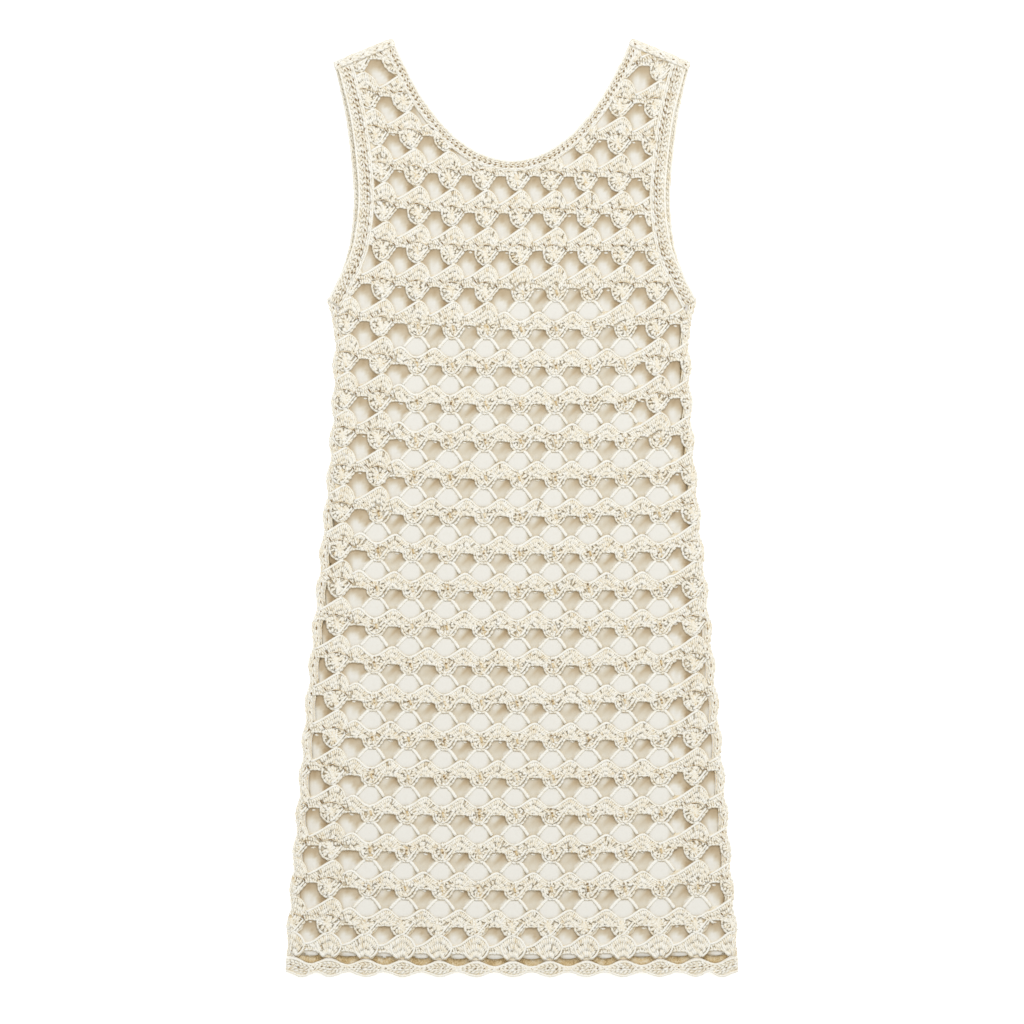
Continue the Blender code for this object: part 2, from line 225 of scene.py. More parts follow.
SIDE_LINE = (
    Station(0.0060, 0.2168),
    Station(0.0163, 0.2168),
    Station(0.1891, 0.2030),
    Station(0.3043, 0.1929),
    Station(0.4195, 0.1816),
    Station(0.5155, 0.1732),
    Station(0.6067, 0.1698),
    Station(0.6326, 0.1728),
    Station(0.6499, 0.1774),
)
ARMHOLE = (
    Station(0.6499, 0.1774),
    Station(0.6643, 0.1694),
    Station(0.6787, 0.1632),
    Station(0.6931, 0.1584),
    Station(0.7075, 0.1550),
    Station(0.7363, 0.1522),
    Station(0.7651, 0.1526),
    Station(0.8150, 0.1579),
    Station(0.8438, 0.1632),
    Station(0.8784, 0.1709),
)
NECKLINE = (
    Station(0.7838, 0.0000),
    Station(0.7862, 0.0168),
    Station(0.7920, 0.0331),
    Station(0.8000, 0.0459),
    Station(0.8150, 0.0634),
    Station(0.8438, 0.0859),
    Station(0.8784, 0.1046),
    Station(0.9014, 0.1152),
)


def edge_points(table: Sequence[Station]) -> Array:
    """The stations of an edge as points across and up the dress."""
    return np.array([(row.half_width, row.height) for row in table])


@dataclass
class Pattern:
    """The cut of the dress: its edges, in half widths and heights above the hem."""

    gap: float = 0.0003
    neck_border: float = 0.0096
    arm_border: float = 0.0144
    side_seam: float = 0.0067
    shoulder_fold: float = 0.0075
    hem_high: float = 0.0154
    hem_low: float = 0.0094
    scallop: float = 0.0055
    hem_smile: float = 0.0045
    hem_clearance: float = 0.0030
    last_scallops: Pair = (0.2011, 0.2190)  # the lowest and highest places of the last one
    fan_foot: float = 0.0062
    fan_shoulder: float = 0.0115
    fan_gap_top: float = 0.0215
    lining_hem: float = 0.0170
    lining_sag: float = 0.0030
    lining_side: float = 0.0020
    lining_under_border: float = 0.0035
    back_peek: float = 0.0045
    peek_heights: Pair = (0.6787, 0.8855)
    side_wave: float = 0.0011
    wave_starts: Pair = (0.0200, 0.0400)
    wave_ends: Pair = (0.6000, 0.6300)
    lean_hem: float = 0.0010
    pitch_hem: float = 0.0353
    first_row: float = 0.0470
    row_pitch: float = 0.0359
    step: float = 0.0040

    @property
    def hem_corner(self) -> float:
        """The height at which the side seams start."""
        return self.hem_high + self.hem_smile + self.gap

    def half_width(self, height: Array) -> Array:
        """The dress's half width at some heights, without the swell at each row."""
        table = np.array([*SIDE_LINE, *ARMHOLE[1:]])
        return np.interp(height, table[:, 0], table[:, 1])

    def side_edge(self) -> Array:
        """The right side from the hem to the underarm, swelling at each row of shells."""
        edge = smooth_path(edge_points(SIDE_LINE), self.step)
        rows = (edge[:, 1] - self.first_row) / self.row_pitch
        taper = smooth_share(edge[:, 1], *self.wave_starts) * (1 - smooth_share(edge[:, 1], *self.wave_ends))
        edge[:, 0] += self.side_wave * np.cos(2 * math.pi * rows) * taper
        return edge

    def armhole_edge(self, inset: float) -> Array:
        """The right armhole up from the underarm, moved in by the inset at its middle."""
        edge = smooth_path(edge_points(ARMHOLE), self.step)
        low, high = self.peek_heights
        share = np.clip((edge[:, 1] - low) / (high - low), 0, 1)
        edge[:, 0] -= inset * np.sqrt(4 * share * (1 - share))
        return edge

    def neck_edge(self, depth: float = 0.0) -> Array:
        """The right half of a line inside the neckline, from the shoulder down to the middle."""
        right = edge_points(NECKLINE)
        whole = np.vstack([right[::-1], right[1:] * (-1.0, 1.0)])
        path = moved_sideways(smooth_path(whole, self.step), depth)
        middle = np.array([(0.0, 0.0), (0.0, LENGTH)])
        return ended_at(path, middle)

    def shoulder_line(self, inset: float) -> Array:
        """The top of the right strap, from the armhole to the neck, moved down by the inset."""
        ends = np.array([edge_points(ARMHOLE)[-1], edge_points(NECKLINE)[-1]])
        return lengthened(moved_sideways(ends, inset))

    def hem_wave(self, x: Array) -> Array:
        """0 at a scallop of the hem and 1 between two."""
        return (1 - np.cos(2 * math.pi * (x - self.lean_hem) / self.pitch_hem)) / 2

    def hem_rise(self, x: Array) -> Array:
        """How far the hem lies above its middle."""
        return self.hem_smile * (x / SIDE_LINE[0].half_width) ** 2

    def hem_stops(self) -> Array:
        """Places across the hem."""
        limit = SIDE_LINE[0].half_width
        return np.linspace(-limit, limit, 1 + 2 * round(limit / self.step * 1.3))

    def hem_lower_edge(self) -> Array:
        """The scalloped lower edge of the hem's border, from the left."""
        x = self.hem_stops()
        low, high = self.last_scallops
        whole = np.arange(-5, 6)
        places = [-high, -low, *(self.lean_hem + whole * self.pitch_hem), low, high]
        turns = np.interp(x, places, [-6.5, -6.0, *whole, 6.0, 6.5])
        return np.stack([x, self.scallop * (1 - np.cos(2 * math.pi * turns)) / 2], axis=-1)

    def hem_upper_edge(self) -> Array:
        """The upper edge of the hem's border, from the left."""
        x = self.hem_stops()
        height = self.hem_high - (self.hem_high - self.hem_low) * self.hem_wave(x)
        return np.stack([x, self.hem_rise(x) + height], axis=-1)

    def side_line(self, inset: float, bottom: float) -> Array:
        """The right side, moved in by the inset, from a height up to the underarm."""
        downwards = self.side_edge()[::-1] - (inset, 0.0)
        return ended_at(downwards, np.array([(0.0, bottom), (LENGTH, bottom)]))[::-1]

    def plain_hem(self) -> Array:
        """The lower edge of the back panel: all along its border."""
        return self.hem_upper_edge() + (0.0, self.gap)

    def notched_hem(self) -> Array:
        """The lower edge of the front panel: the feet of the last row's fans, and notches between."""
        foot = self.hem_high + self.gap
        columns = np.arange(-6, 7)[:, None]
        across = np.array(
            (self.fan_shoulder - self.pitch_hem, -self.fan_shoulder, -self.fan_foot, self.fan_foot))
        up = np.array((self.fan_gap_top, self.fan_gap_top, foot, foot))
        x = (self.lean_hem + columns * self.pitch_hem + across).ravel()
        return np.stack([x, np.tile(up, len(columns)) + self.hem_rise(x)], axis=-1)

    def panel_outline(self, peek: float, hem: Array, side_inset: Optional[float] = None) -> Array:
        """The edge of a crocheted panel inside its borders.

        Args:
            peek: How far the panel is moved in at the armholes.
            hem: The panel's lower edge.
            side_inset: How far its sides lie inside the dress's, or None to keep clear of the seams.

        Returns:
            The closed edge, counter-clockwise.
        """
        inset = self.side_seam + self.gap if side_inset is None else side_inset
        side = self.side_line(inset, self.hem_corner)
        hem = hem[np.abs(hem[:, 0]) < side[0, 0] - self.hem_clearance]
        arm = lengthened(moved_sideways(self.armhole_edge(peek), self.arm_border + self.gap))
        right = joined_at_crossing(side, arm)
        right = joined_at_crossing(right, self.shoulder_line(self.shoulder_fold + self.gap))
        right = joined_at_crossing(right, self.neck_edge(self.neck_border + self.gap))
        return np.vstack([hem, right, mirrored(right)[1:]])

    def lining_outline(self) -> Array:
        """The lining's edge: inside the side seams, and sewn under the borders."""
        corner = self.lining_hem + self.hem_smile
        side = self.side_line(self.side_seam + self.lining_side, corner)
        x = self.hem_stops()
        x = x[np.abs(x) < side[0, 0] - self.hem_clearance]
        sag = self.lining_sag * (1 - self.hem_wave(x))
        hem = np.stack([x, self.lining_hem + self.hem_rise(x) + sag], axis=-1)
        arm = moved_sideways(self.armhole_edge(self.back_peek), self.arm_border - self.lining_under_border)
        right = joined_at_crossing(lengthened(side)[1:], lengthened(arm))
        right = joined_at_crossing(right, self.shoulder_line(self.shoulder_fold + self.gap))
        right = joined_at_crossing(right, self.neck_edge(self.neck_border - self.lining_under_border))
        return np.vstack([hem, right, mirrored(right)[1:]])


def on_surface(path: Array) -> Array:
    """Heights above the hem turned into places on the surface the dress lies on."""
    return path - (0.0, LENGTH / 2)


# ---- the crochet's repeat
@dataclass
class Lattice:
    """Where the repeats of the crochet lie. A repeat is one shell, and rows run across the dress."""

    pattern: Pattern
    cell_width: float = 34.0  # the repeat's own size, in the millimetres of its drawings
    cell_height: float = 35.9
    pitch_hem: float = 0.0353
    pitch_top: float = 0.0326
    pitch_height: float = 0.7460
    lean_hem: float = 0.0010
    lean_top: float = 0.0091
    strap_lean: float = 0.0260
    strap_sway: float = 0.0160  # how far the columns of both straps move to the left
    sway_start: float = 0.7300
    strap_start: float = 0.7450
    strap_middle: float = 0.1250
    rows: range = range(-1, 24)
    columns: range = range(-8, 9)
    rise_heights: tuple[float, ...] = (0.00, 0.50, 0.68, 0.76, 0.84, 0.90)
    rise_left: tuple[float, ...] = (0.0045, 0.0054, 0.0068, 0.0125, 0.0085, 0.0070)
    rise_right: tuple[float, ...] = (0.0045, 0.0035, 0.0012, -0.0025, -0.0032, -0.0030)
    open_top: float = 0.6450  # round gaps are filled with fans above this height,
    open_left: float = 0.0500  # and within these distances of the sides
    open_right: float = 0.0330
    open_peak_columns: tuple[int, ...] = (0, 1, 2)

    def rise(self, x: Array, height: Array) -> Array:
        """How far a row bends up at a place."""
        side = np.where(x < 0, np.interp(height, self.rise_heights, self.rise_left),
                        np.interp(height, self.rise_heights, self.rise_right))
        return side * (x / self.pattern.half_width(height)) ** 2

    def columns_at(self, height: Array) -> tuple[Array, Array]:
        """Where the middle column lies at a height, and how far apart the columns are."""
        share = (height - self.pattern.first_row) / (self.pitch_height - self.pattern.first_row)
        middle = self.lean_hem + (self.lean_top - self.lean_hem) * share
        return middle, self.pitch_hem + (self.pitch_top - self.pitch_hem) * share

    def across(self, column: Array, height: Array) -> Array:
        """A column's place across the dress at a height."""
        middle, pitch = self.columns_at(height)
        x = middle + column * pitch
        return x + self.strap_shift(x, height)

    def strap_shift(self, x: Array, height: Array) -> Array:
        """How far the columns turn outwards, and to the left, up the straps."""
        above = np.maximum(0.0, (height - self.strap_start) / (LENGTH - self.strap_start))
        sway = self.strap_sway * np.maximum(0.0, (height - self.sway_start) / (LENGTH - self.sway_start))
        return np.clip(x / self.strap_middle, -1, 1) * self.strap_lean * above ** 2 - sway

    def place(self, column: Array, row: Array) -> Array:
        """Where a place of the repeat lies, as a point across and up the dress."""
        column, row = np.asarray(column, float), np.asarray(row, float)
        height = self.pattern.first_row + row * self.pattern.row_pitch
        x = self.across(column, height)
        return np.stack([x, height + self.rise(x, height)], axis=-1)

    def find(self, points: Array) -> tuple[Array, Array]:
        """The column and row of some points across and up the dress."""
        x, y = points[:, 0], points[:, 1]
        height = y - self.rise(x, y)
        plain = x - self.strap_shift(x, height)
        plain = x - self.strap_shift(plain, height)
        middle, pitch = self.columns_at(height)
        return (plain - middle) / pitch, (height - self.pattern.first_row) / self.pattern.row_pitch

    def drawn(self, drawing: Array, column: float, row: float) -> Array:
        """A drawing in the repeat's millimetres, laid at one repeat."""
        return self.place(column + drawing[:, 0] / self.cell_width, row + drawing[:, 1] / self.cell_height)

    def is_open(self, column: int, row: int) -> bool:
        """Whether the round gap below a shell is open, or filled with a fan."""
        x, y = self.place(column, row)
        height = y - self.pattern.row_pitch / 2
        width = float(self.pattern.half_width(height))
        if row <= 0 or height > self.open_top:
            return False
        if height > self.open_top - self.pattern.row_pitch:
            return column in self.open_peak_columns
        return x + width > self.open_left and width - x > self.open_right


# The lengths of a cord's straight runs, in millimetres, on the front and on the hidden side.
FINE_STEP, PLAIN_STEP = 2.1, 4.8


# Drawings of one repeat, in millimetres from the centre of its shell.
class Roof(Enum):
    """What lies over a shell: an open round gap, a fan that fills it, or a fan of the last row."""

    OPEN = "open"
    FAN = "fan"
    HEM = "hem"


# The line along the top of a row, leaving a shell to the right and arriving at the next.
LEAVING = {
    Roof.OPEN: ((0.0, 7.4), (4.8, 8.6), (9.6, 11.7)),
    Roof.FAN: ((0.0, 25.0), (3.1, 25.7), (7.0, 23.4), (10.2, 18.8), (11.6, 13.8)),
    Roof.HEM: ((0.0, 28.6), (4.0, 27.0), (8.4, 23.4), (10.8, 19.6), (11.6, 17.0)),
}
ARRIVING = {
    Roof.OPEN: ((14.4, 15.1), (18.2, 16.7), (21.6, 15.6), (25.6, 12.0), (29.4, 8.8)),
    Roof.FAN: ((13.6, 12.4), (20.4, 16.0), (27.4, 20.6)),
    Roof.HEM: ((14.5, 17.6), (19.5, 19.4), (24.5, 23.2), (29.5, 27.0)),
}
UNDER_EDGE = {
    Roof.OPEN: ((11.0, 0.6), (13.6, 1.2), (17.4, 1.4), (21.8, 1.2), (25.6, 0.4)),
    Roof.FAN: ((11.2, 3.6), (14.0, 4.6), (20.0, 4.7), (24.6, 3.4)),
    Roof.HEM: ((11.6, 11.2), (14.5, 11.6), (19.5, 11.6), (22.6, 11.2)),
}
SHELL_RIM = {
    True: ((-7.8, 2.2), (-7.5, -1.6), (-6.3, -4.9), (-3.8, -7.4), (-0.4, -8.6), (3.4, -8.6),
           (6.8, -7.2), (9.3, -4.6), (11.0, -1.4), (13.0, 2.0)),
    False: ((-10.8, 4.4), (-11.0, 0.4), (-9.8, -3.6), (-7.4, -6.8), (-4.2, -8.8), (-0.6, -9.3),
            (2.4, -8.2), (4.8, -5.4), (7.6, -1.6), (11.2, 2.8)),
}
# Where a shell's top meets the fan over it.
SHELL_SEAM = ((-9.4, 7.8), (-5.2, 9.2), (-0.4, 9.9), (4.6, 8.9), (8.6, 6.8))
LEFT_CHAIN = ((-2.6, -8.4), (-6.4, -11.8), (-9.2, -15.2), (-12.4, -18.8))
RIGHT_CHAIN = ((4.8, -8.2), (8.2, -11.6), (10.9, -15.2), (13.4, -19.0))
# Where a small dark strand of painted shade lies, at the foot of the right chain.
CHAIN_FOOT_SHADE = (12.4, -20.3)
HEM_LEFT_CORD = ((-10.8, 20.0), (-10.2, 14.6), (-7.8, 9.6), (-3.8, 6.0))
HEM_RIGHT_CORD = ((11.6, 17.2), (10.6, 12.4), (8.0, 8.4), (4.2, 5.8))
LAST_FAN_END = ((31.5, 7.6), (32.4, 4.6), (29.0, 1.4))  # the fan's top, bent down to its centre


class ShadeDot(NamedTuple):
    """A small dark mark of painted shade that stands for the shade in an opening between stitches: its place,
    and how far it reaches each way.
    """

    across: float
    up: float
    reach: Pair


OPEN_SHADE_DOTS = (
    ShadeDot(-1.9, 5.2, (0.8, 0.1)),
    ShadeDot(-3.0, 1.6, (0.5, 0.5)),
    ShadeDot(-0.4, 1.2, (0.9, 0.2)),
    ShadeDot(1.6, -0.8, (0.6, 0.4)),
    ShadeDot(-1.2, -0.9, (0.4, 0.7)),
)
SEAM_SHADE_DOTS = (
    ShadeDot(-1.6, 9.4, (1.6, 0.2)),
    ShadeDot(-10.6, 9.8, (1.0, -1.2)),
    ShadeDot(9.8, 6.0, (1.1, -0.9)),
)
HEM_SHADE_DOTS = (ShadeDot(0.4, 6.2, (0.5, 0.1)), ShadeDot(1.0, 26.2, (0.5, 0.1)))
LINK_HEADS = {
    Roof.FAN: ((6.6, 9.6), (9.4, 11.2), (13.2, 11.8), (17.4, 10.4), (22.0, 7.6)),
    Roof.HEM: ((11.6, 16.6), (15.0, 17.0), (19.6, 18.0), (22.4, 18.4)),
}
LINK_FOOT = {Roof.FAN: 4.4, Roof.HEM: 11.4}

# The gaps, run counter-clockwise along the middles of the cords round them.
ROUND_GAP = ((-3.6, -9.2), (-6.4, -11.8), (-9.2, -15.2), (-12.2, -18.8), (-11.4, -21.0), (-8.2, -24.0),
             (-5.0, -26.6), (-1.4, -28.3), (3.0, -28.0), (7.2, -25.8), (10.4, -23.6), (13.2, -21.4),
             (13.4, -19.2), (11.2, -15.4), (8.6, -11.8), (6.0, -9.2))
GAP_TOP = {
    Roof.OPEN: ((25.4, 0.6), (17.4, 1.4), (11.6, 0.8)),
    Roof.FAN: ((24.0, 3.6), (20.0, 4.6), (14.0, 4.4), (11.6, 3.4)),
}
GAP_LEFT = {
    Roof.OPEN: ((10.8, -1.8), (9.2, -4.8), (6.4, -7.8), (8.7, -11.4), (11.3, -15.0), (13.7, -18.7),
                (15.6, -19.8), (18.0, -19.2)),
    Roof.FAN: ((7.4, -2.0), (4.8, -5.6), (2.6, -8.4), (7.2, -12.8), (10.2, -17.1), (12.0, -22.4)),
    Roof.HEM: ((8.6, -4.8), (4.2, -8.6), (8.6, -12.4), (11.4, -17.0)),
}
GAP_RIGHT = {
    Roof.OPEN: ((20.4, -19.8), (21.9, -18.6), (24.8, -15.0), (27.7, -11.6), (30.8, -8.4),
                (28.0, -5.4), (26.5, -1.8)),
    Roof.FAN: ((20.4, -19.8), (27.4, -15.3), (32.8, -11.8), (28.8, -8.6), (25.2, -5.0), (23.0, 0.2)),
    Roof.HEM: ((14.6, -17.6), (19.5, -15.8), (24.6, -12.2), (30.4, -9.2), (27.0, -6.0), (25.0, -1.8)),
}


class Strand(NamedTuple):
    """A length of yarn in the repeat's millimetres: across the row, up, and out of the cloth."""

    points: Array
    radius: float
    # above 0 darker, below 0 paler: a random tone, with painted shade or light in it
    tone: float = 0.0
    runs: int = 0  # the points it is made of, or 0 for as many as its length needs
    sides: int = 5
    taper: float = 0.9  # how thick its ends are, of its radius
    flat: float = 0.85  # how high it is, of its width


class Cord(NamedTuple):
    """The yarn of a cord: its radius, its tone, which carries painted light or shade, and how far out of the
    cloth it lies.
    """

    radius: float
    tone: float
    out: float


# A tone below 0 colours a cord paler than the posts: painted light on the raised cords. The falling cord,
# thinner and lower, is less pale, painted shade on the crest's falling side; the thin seam cord is darker,
# painted shade where a shell meets the fan over it.
ROW_CORD = Cord(1.30, -0.45, 1.15)
FALLING_CORD = Cord(0.95, -0.20, 0.90)
SHOULDER_CORD = Cord(0.90, 0.05, 0.90)
HEM_CORD = Cord(1.10, -0.35, 1.30)
UNDER_CORD = Cord(1.05, -0.20, 0.90)
RIM_CORD = Cord(1.25, -0.40, 1.10)
INNER_CORD = Cord(1.10, -0.40, 1.80)
SEAM_CORD = Cord(0.50, 0.55, 1.90)


class Cushion(NamedTuple):
    """A low mound under the stitches of a shell."""

    radius: float
    tone: float
    out: float
    flat: float  # how high it is, of its radius


WIDE_CUSHION = Cushion(8.4, 0.42, 0.7, 0.11)
OPEN_CUSHION = Cushion(6.4, 0.42, 1.0, 0.17)
FILLED_CUSHION = Cushion(6.4, 0.42, 1.3, 0.21)
# painted shade: a small dark mound in an open shell's centre, for the hollow there
CENTRE_SHADE_CUSHION = Cushion(3.0, 0.95, 1.9, 0.26)


class Ring(NamedTuple):
    """A round of posts of a shell, between two distances from its centre."""

    count: int
    near: float
    far: float
    missing: float  # the share of posts left out


PLAIN_RINGS = (Ring(7, 2.6, 8.0, 0.0),)
OPEN_RINGS = (Ring(7, 2.8, 5.2, 0.15), Ring(16, 4.7, 8.2, 0.03))
FILLED_RINGS = (Ring(4, 0.1, 1.8, 0.0), Ring(11, 1.7, 5.0, 0.03), Ring(20, 4.7, 8.6, 0.02))


def short_line(middle: Array, reach: Array, low: float, high: float) -> Array:
    """Three points from one side of a middle to the other, arched out of the cloth."""
    return np.column_stack([np.array([middle - reach, middle, middle + reach]), (low, high, low)])


@dataclass
class ShellRow:
    """One row of shells, as strands of yarn in the repeat's millimetres."""

    lattice: Lattice
    row: int
    random: np.random.Generator
    fine: bool = True  # all the stitches, or only as many as the hidden side needs
    post_radius: float = 1.50
    post_pitch: float = 2.35
    plain_post_pitch: float = 5.6
    cord_step: float = FINE_STEP
    line_step: float = 1.0
    shell_height: float = 1.25
    shell_radius: float = 10.0
    open_middle: Pair = (1.8, 0.4)
    filled_middle: Pair = (-1.2, 0.4)
    centre_play: float = 0.8
    flank_start: float = 4.9  # the angle past which an open shell's outer round gives way to its flank
    flank_posts: int = 5
    wobble: float = 0.16
    dash_wobble: float = 0.16
    drawing_play: float = 0.25  # how far a shell's rim and feet may lie from their drawings
    post_sizes: Pair = (0.86, 1.10)
    post_shades: Pair = (-0.28, 0.20)
    dash_sizes: Pair = (0.9, 1.1)
    dash_shades: Pair = (-0.5, 0.1)
    # painted shade: the dots are small dark strands, toned deep brown
    dot_sizes: Pair = (0.8, 1.25)
    dot_shades: Pair = (1.5, 2.6)
    head_shade_dot: Pair = (0.42, 1.75)  # the radius and height of a dark dot of painted shade beside a post's head
    shuffle: float = 0.7  # how far a stitch may lie from its place along itself
    missing: float = 0.04  # the share of stitches with a dark dot of painted shade beside their heads
    dotted: float = 0.45  # the share of stitches with a dark opening beside their heads
    knotted: float = 0.6  # the share of bands with a knot below their edge
    centres = {Roof.OPEN: (16.6, 0.6), Roof.FAN: (0.6, -6.0), Roof.HEM: (0.2, 1.0)}
    shares = {
        Roof.OPEN: (1.0, 0.68, 0.38, 0.16),
        Roof.FAN: (1.0, 0.81, 0.65, 0.51),
        Roof.HEM: (1.0, 0.74, 0.5, 0.28),
    }

    def __post_init__(self) -> None:
        """The hidden side is worked with fewer, longer stitches."""
        if not self.fine:
            self.post_pitch, self.cord_step = self.plain_post_pitch, PLAIN_STEP

    def roof(self, column: int) -> Roof:
        """What lies over a shell."""
        if self.row < 0:
            return Roof.HEM
        return Roof.OPEN if self.lattice.is_open(column, self.row + 1) else Roof.FAN

    def shifted(self, points: Sequence, column: int) -> Array:
        """Points measured from a column's shell, measured from the middle column's."""
        moved = np.array(points, float)
        moved[:, 0] += column * self.lattice.cell_width
        return moved

    def post(self, foot: Array, head: Array, column: int, low: float, high: float,
             tone: float = 0.0) -> Strand:
        """A short stitch from its foot to its head, arched out of the cloth."""
        points = np.column_stack([np.array([foot, (foot + head) / 2, head]), (low, high, low)])
        points += self.random.normal(0.0, self.wobble, points.shape) * (1.0, 1.0, 0.4)
        along = (head - foot) / np.linalg.norm(head - foot)
        points[:, :2] += along * self.random.uniform(-self.shuffle, self.shuffle)
        radius = self.post_radius * self.random.uniform(*self.post_sizes)
        shade = tone + self.random.uniform(*self.post_shades)
        return Strand(self.shifted(points, column), radius, shade, runs=3, sides=4, taper=0.84, flat=0.56)

    def cord(self, drawing: Sequence, column: int, yarn: Cord) -> Strand:
        """A smooth cord along a drawing."""
        line = smooth_path(np.array(drawing, float), self.cord_step)
        height = yarn.out + self.random.normal(0.0, 0.08, len(line))
        points = self.shifted(np.column_stack([line, height]), column)
        return Strand(points, yarn.radius, yarn.tone, sides=5 if self.fine else 4)

    def dashes(self, drawing: Sequence, column: int, radius: float, out: float,
               length: float = 3.2) -> Iterator[Strand]:
        """A round of short stitches end to end along a drawing."""
        line = smooth_path(np.array(drawing, float), 0.8)
        total = lengths_along(line)[-1]
        count = max(2, round(total / length))
        for i in range(count):
            stops = (np.array([0.0, 0.5, 1.0]) + i) * total / count
            points = np.column_stack([along_path(line, stops), (out - 0.3, out, out - 0.3)])
            points += self.random.normal(0.0, self.dash_wobble, points.shape)
            tone = self.random.uniform(*self.dash_shades)
            size = radius * self.random.uniform(*self.dash_sizes)
            yield Strand(self.shifted(points, column), size, tone, runs=3, sides=4, taper=0.8)

    def cushion(self, centre: Array, column: int, mound: Cushion) -> Strand:
        """A low mound under the stitches of a shell."""
        points = short_line(centre, np.array([0.35, 0.1]) * mound.radius, mound.out, mound.out)
        return Strand(self.shifted(points, column), mound.radius, mound.tone, 3, 8, 0.8, mound.flat)

    def shade_dot(self, place: Array, column: int, radius: float, reach: Sequence, out: float) -> Strand:
        """A small dark strand of painted shade, standing for the shade in an opening between stitches."""
        points = short_line(place, np.array(reach) * self.random.uniform(0.8, 1.3), out - 0.1, out)
        radius = radius * self.random.uniform(*self.dot_sizes)
        tone = self.random.uniform(*self.dot_shades)
        return Strand(self.shifted(points, column), radius, tone, runs=3, sides=3, taper=0.7, flat=0.5)

    def shade_dots(self, places: Sequence[ShadeDot], column: int, origin: Sequence, play: float, radius: float,
             out: float) -> Iterator[Strand]:
        """Dark strands of painted shade at drawn places from an origin, each moved a little at random."""
        for place in places:
            spot = np.array(origin) + (place.across, place.up)
            if play:
                spot = spot + self.random.normal(0.0, play, 2)
            yield self.shade_dot(spot, column, radius, place.reach, out)

    def fan(self, top: Array, roof: Roof, column: int) -> Iterator[Strand]:
        """Tiers of posts that spread from a centre, with the heads of the last along a line."""
        middle = np.array(self.centres[roof])
        tiers = self.shares[roof] if self.fine else self.shares[roof][:3:2]
        for tier, (outer, inner) in enumerate(zip(tiers, tiers[1:])):
            line = middle + (top - middle) * outer
            count = max(2, round(lengths_along(line)[-1] / self.post_pitch))
            places = resampled(line, 2 * count + 1)
            swell = 0.25 if tier else 0.0
            for head in places[1::2]:
                foot = middle + (head - middle) * (inner / outer)
                reach = (head - foot) * 0.10
                if self.random.uniform() < self.missing:
                    continue
                yield self.post(foot - reach, head - reach * 0.7, column, 0.8 + swell, 0.95 + swell)
            # painted shade: dark dots beside the heads of the first tier
            if self.fine and tier == 0:
                for spot in places[::2]:
                    if self.random.uniform() < self.dotted:
                        spot = spot + (middle - spot) * self.random.uniform(0.16, 0.24)
                        radius, out = self.head_shade_dot
                        yield self.shade_dot(spot, column, radius, (0.25, 0.5), out)

    def cords(self, column: int) -> Iterator[Strand]:
        """The cord along the top of the row, from over one shell to over the next."""
        here, there = self.roof(column), self.roof(column + 1)
        width = self.lattice.cell_width
        arriving = [*ARRIVING[there], *((u + width, v) for u, v in LEAVING[there][:2])]
        if here is Roof.FAN:
            yield self.cord([*LEAVING[here], (13.0, 11.6)], column, SHOULDER_CORD)
            start = (12.4, 11.8) if there is Roof.FAN else (11.8, 13.0)
            yield self.cord([start, *arriving], column, ROW_CORD)
        elif there is Roof.OPEN:
            crest = 2
            yield self.cord([*LEAVING[here], *arriving[:crest + 1]], column, ROW_CORD)
            yield self.cord(arriving[crest - 1:], column, FALLING_CORD)
        else:
            yield self.cord([*LEAVING[here], *arriving], column, ROW_CORD)
        if here is Roof.HEM:
            for drawing in (HEM_LEFT_CORD, HEM_RIGHT_CORD):
                yield self.cord(drawing, column, HEM_CORD)
            if self.fine:
                # painted shade: dark dots between the last row's cords
                yield from self.shade_dots(HEM_SHADE_DOTS, column, (0.0, 0.0), 0.0, 0.75, 2.3)
        if self.fine:
            yield from self.dashes(UNDER_EDGE[there], column, 1.25, 1.0)
            yield from self.knot(UNDER_EDGE[there], column)
        else:
            yield self.cord(UNDER_EDGE[there], column, UNDER_CORD)

    def knot(self, edge: Sequence, column: int) -> Iterator[Strand]:
        """A small knot that hangs below the edge of a band, behind it."""
        if self.row < 0 or self.random.uniform() > self.knotted:
            return
        below = (self.random.uniform(-4.0, 3.0), self.random.uniform(-2.6, -1.6))
        middle = np.array(edge).mean(axis=0) + below
        reach = np.array([self.random.uniform(1.4, 2.4), self.random.uniform(-0.5, 0.5)])
        points = short_line(middle, reach, -1.6, -1.2)
        yield Strand(self.shifted(points, column), 1.3, -0.2, runs=3, sides=4, taper=0.7)

    def tops(self, column: int) -> Iterator[Strand]:
        """The posts under the top of the row, from over one shell to over the next."""
        here, there = self.roof(column), self.roof(column + 1)
        width = self.lattice.cell_width
        if Roof.OPEN in (here, there):
            start = LEAVING[here] if here is Roof.OPEN else ((12.0, 13.0),)
            ends = np.array([*start, *ARRIVING[there]])
            if there is Roof.OPEN:
                ends = np.vstack([ends, *LAST_FAN_END])
            else:
                ends = ends[ends[:, 0] < 15.0]
            line = smooth_path(ends, self.line_step)
            yield from self.fan(line[line[:, 0] > 2.4], Roof.OPEN, column)
        if there is not Roof.OPEN:
            before = np.array(ARRIVING[there]) - (width, 0.0)
            line = smooth_path(np.vstack([before, LEAVING[there]]), self.line_step)
            yield from self.fan(line, there, column + 1)
        if Roof.OPEN not in (here, there):
            yield from self.link(there, column)
        elif here is not there:
            yield from self.link(Roof.FAN, column, 13.0, there is Roof.FAN)

    def link(self, roof: Roof, column: int, middle: float = 0.0, right: bool = True) -> Iterator[Strand]:
        """The short posts of the band that links two fans, or of its part on one side of its middle."""
        line = smooth_path(np.array(LINK_HEADS[roof]), self.line_step)
        line = line[(line[:, 0] > middle) == right]
        count = max(2, round(lengths_along(line)[-1] / self.post_pitch))
        for head in resampled(line, 2 * count + 1)[1::2]:
            foot = np.array([head[0] + 1.6, LINK_FOOT[roof]])
            halfway, lap = (head + foot) / 2, (foot - head) * 0.02
            yield self.post(foot, halfway + lap, column, 0.5, 0.8)
            yield self.post(halfway - lap, head, column, 0.5, 0.8)

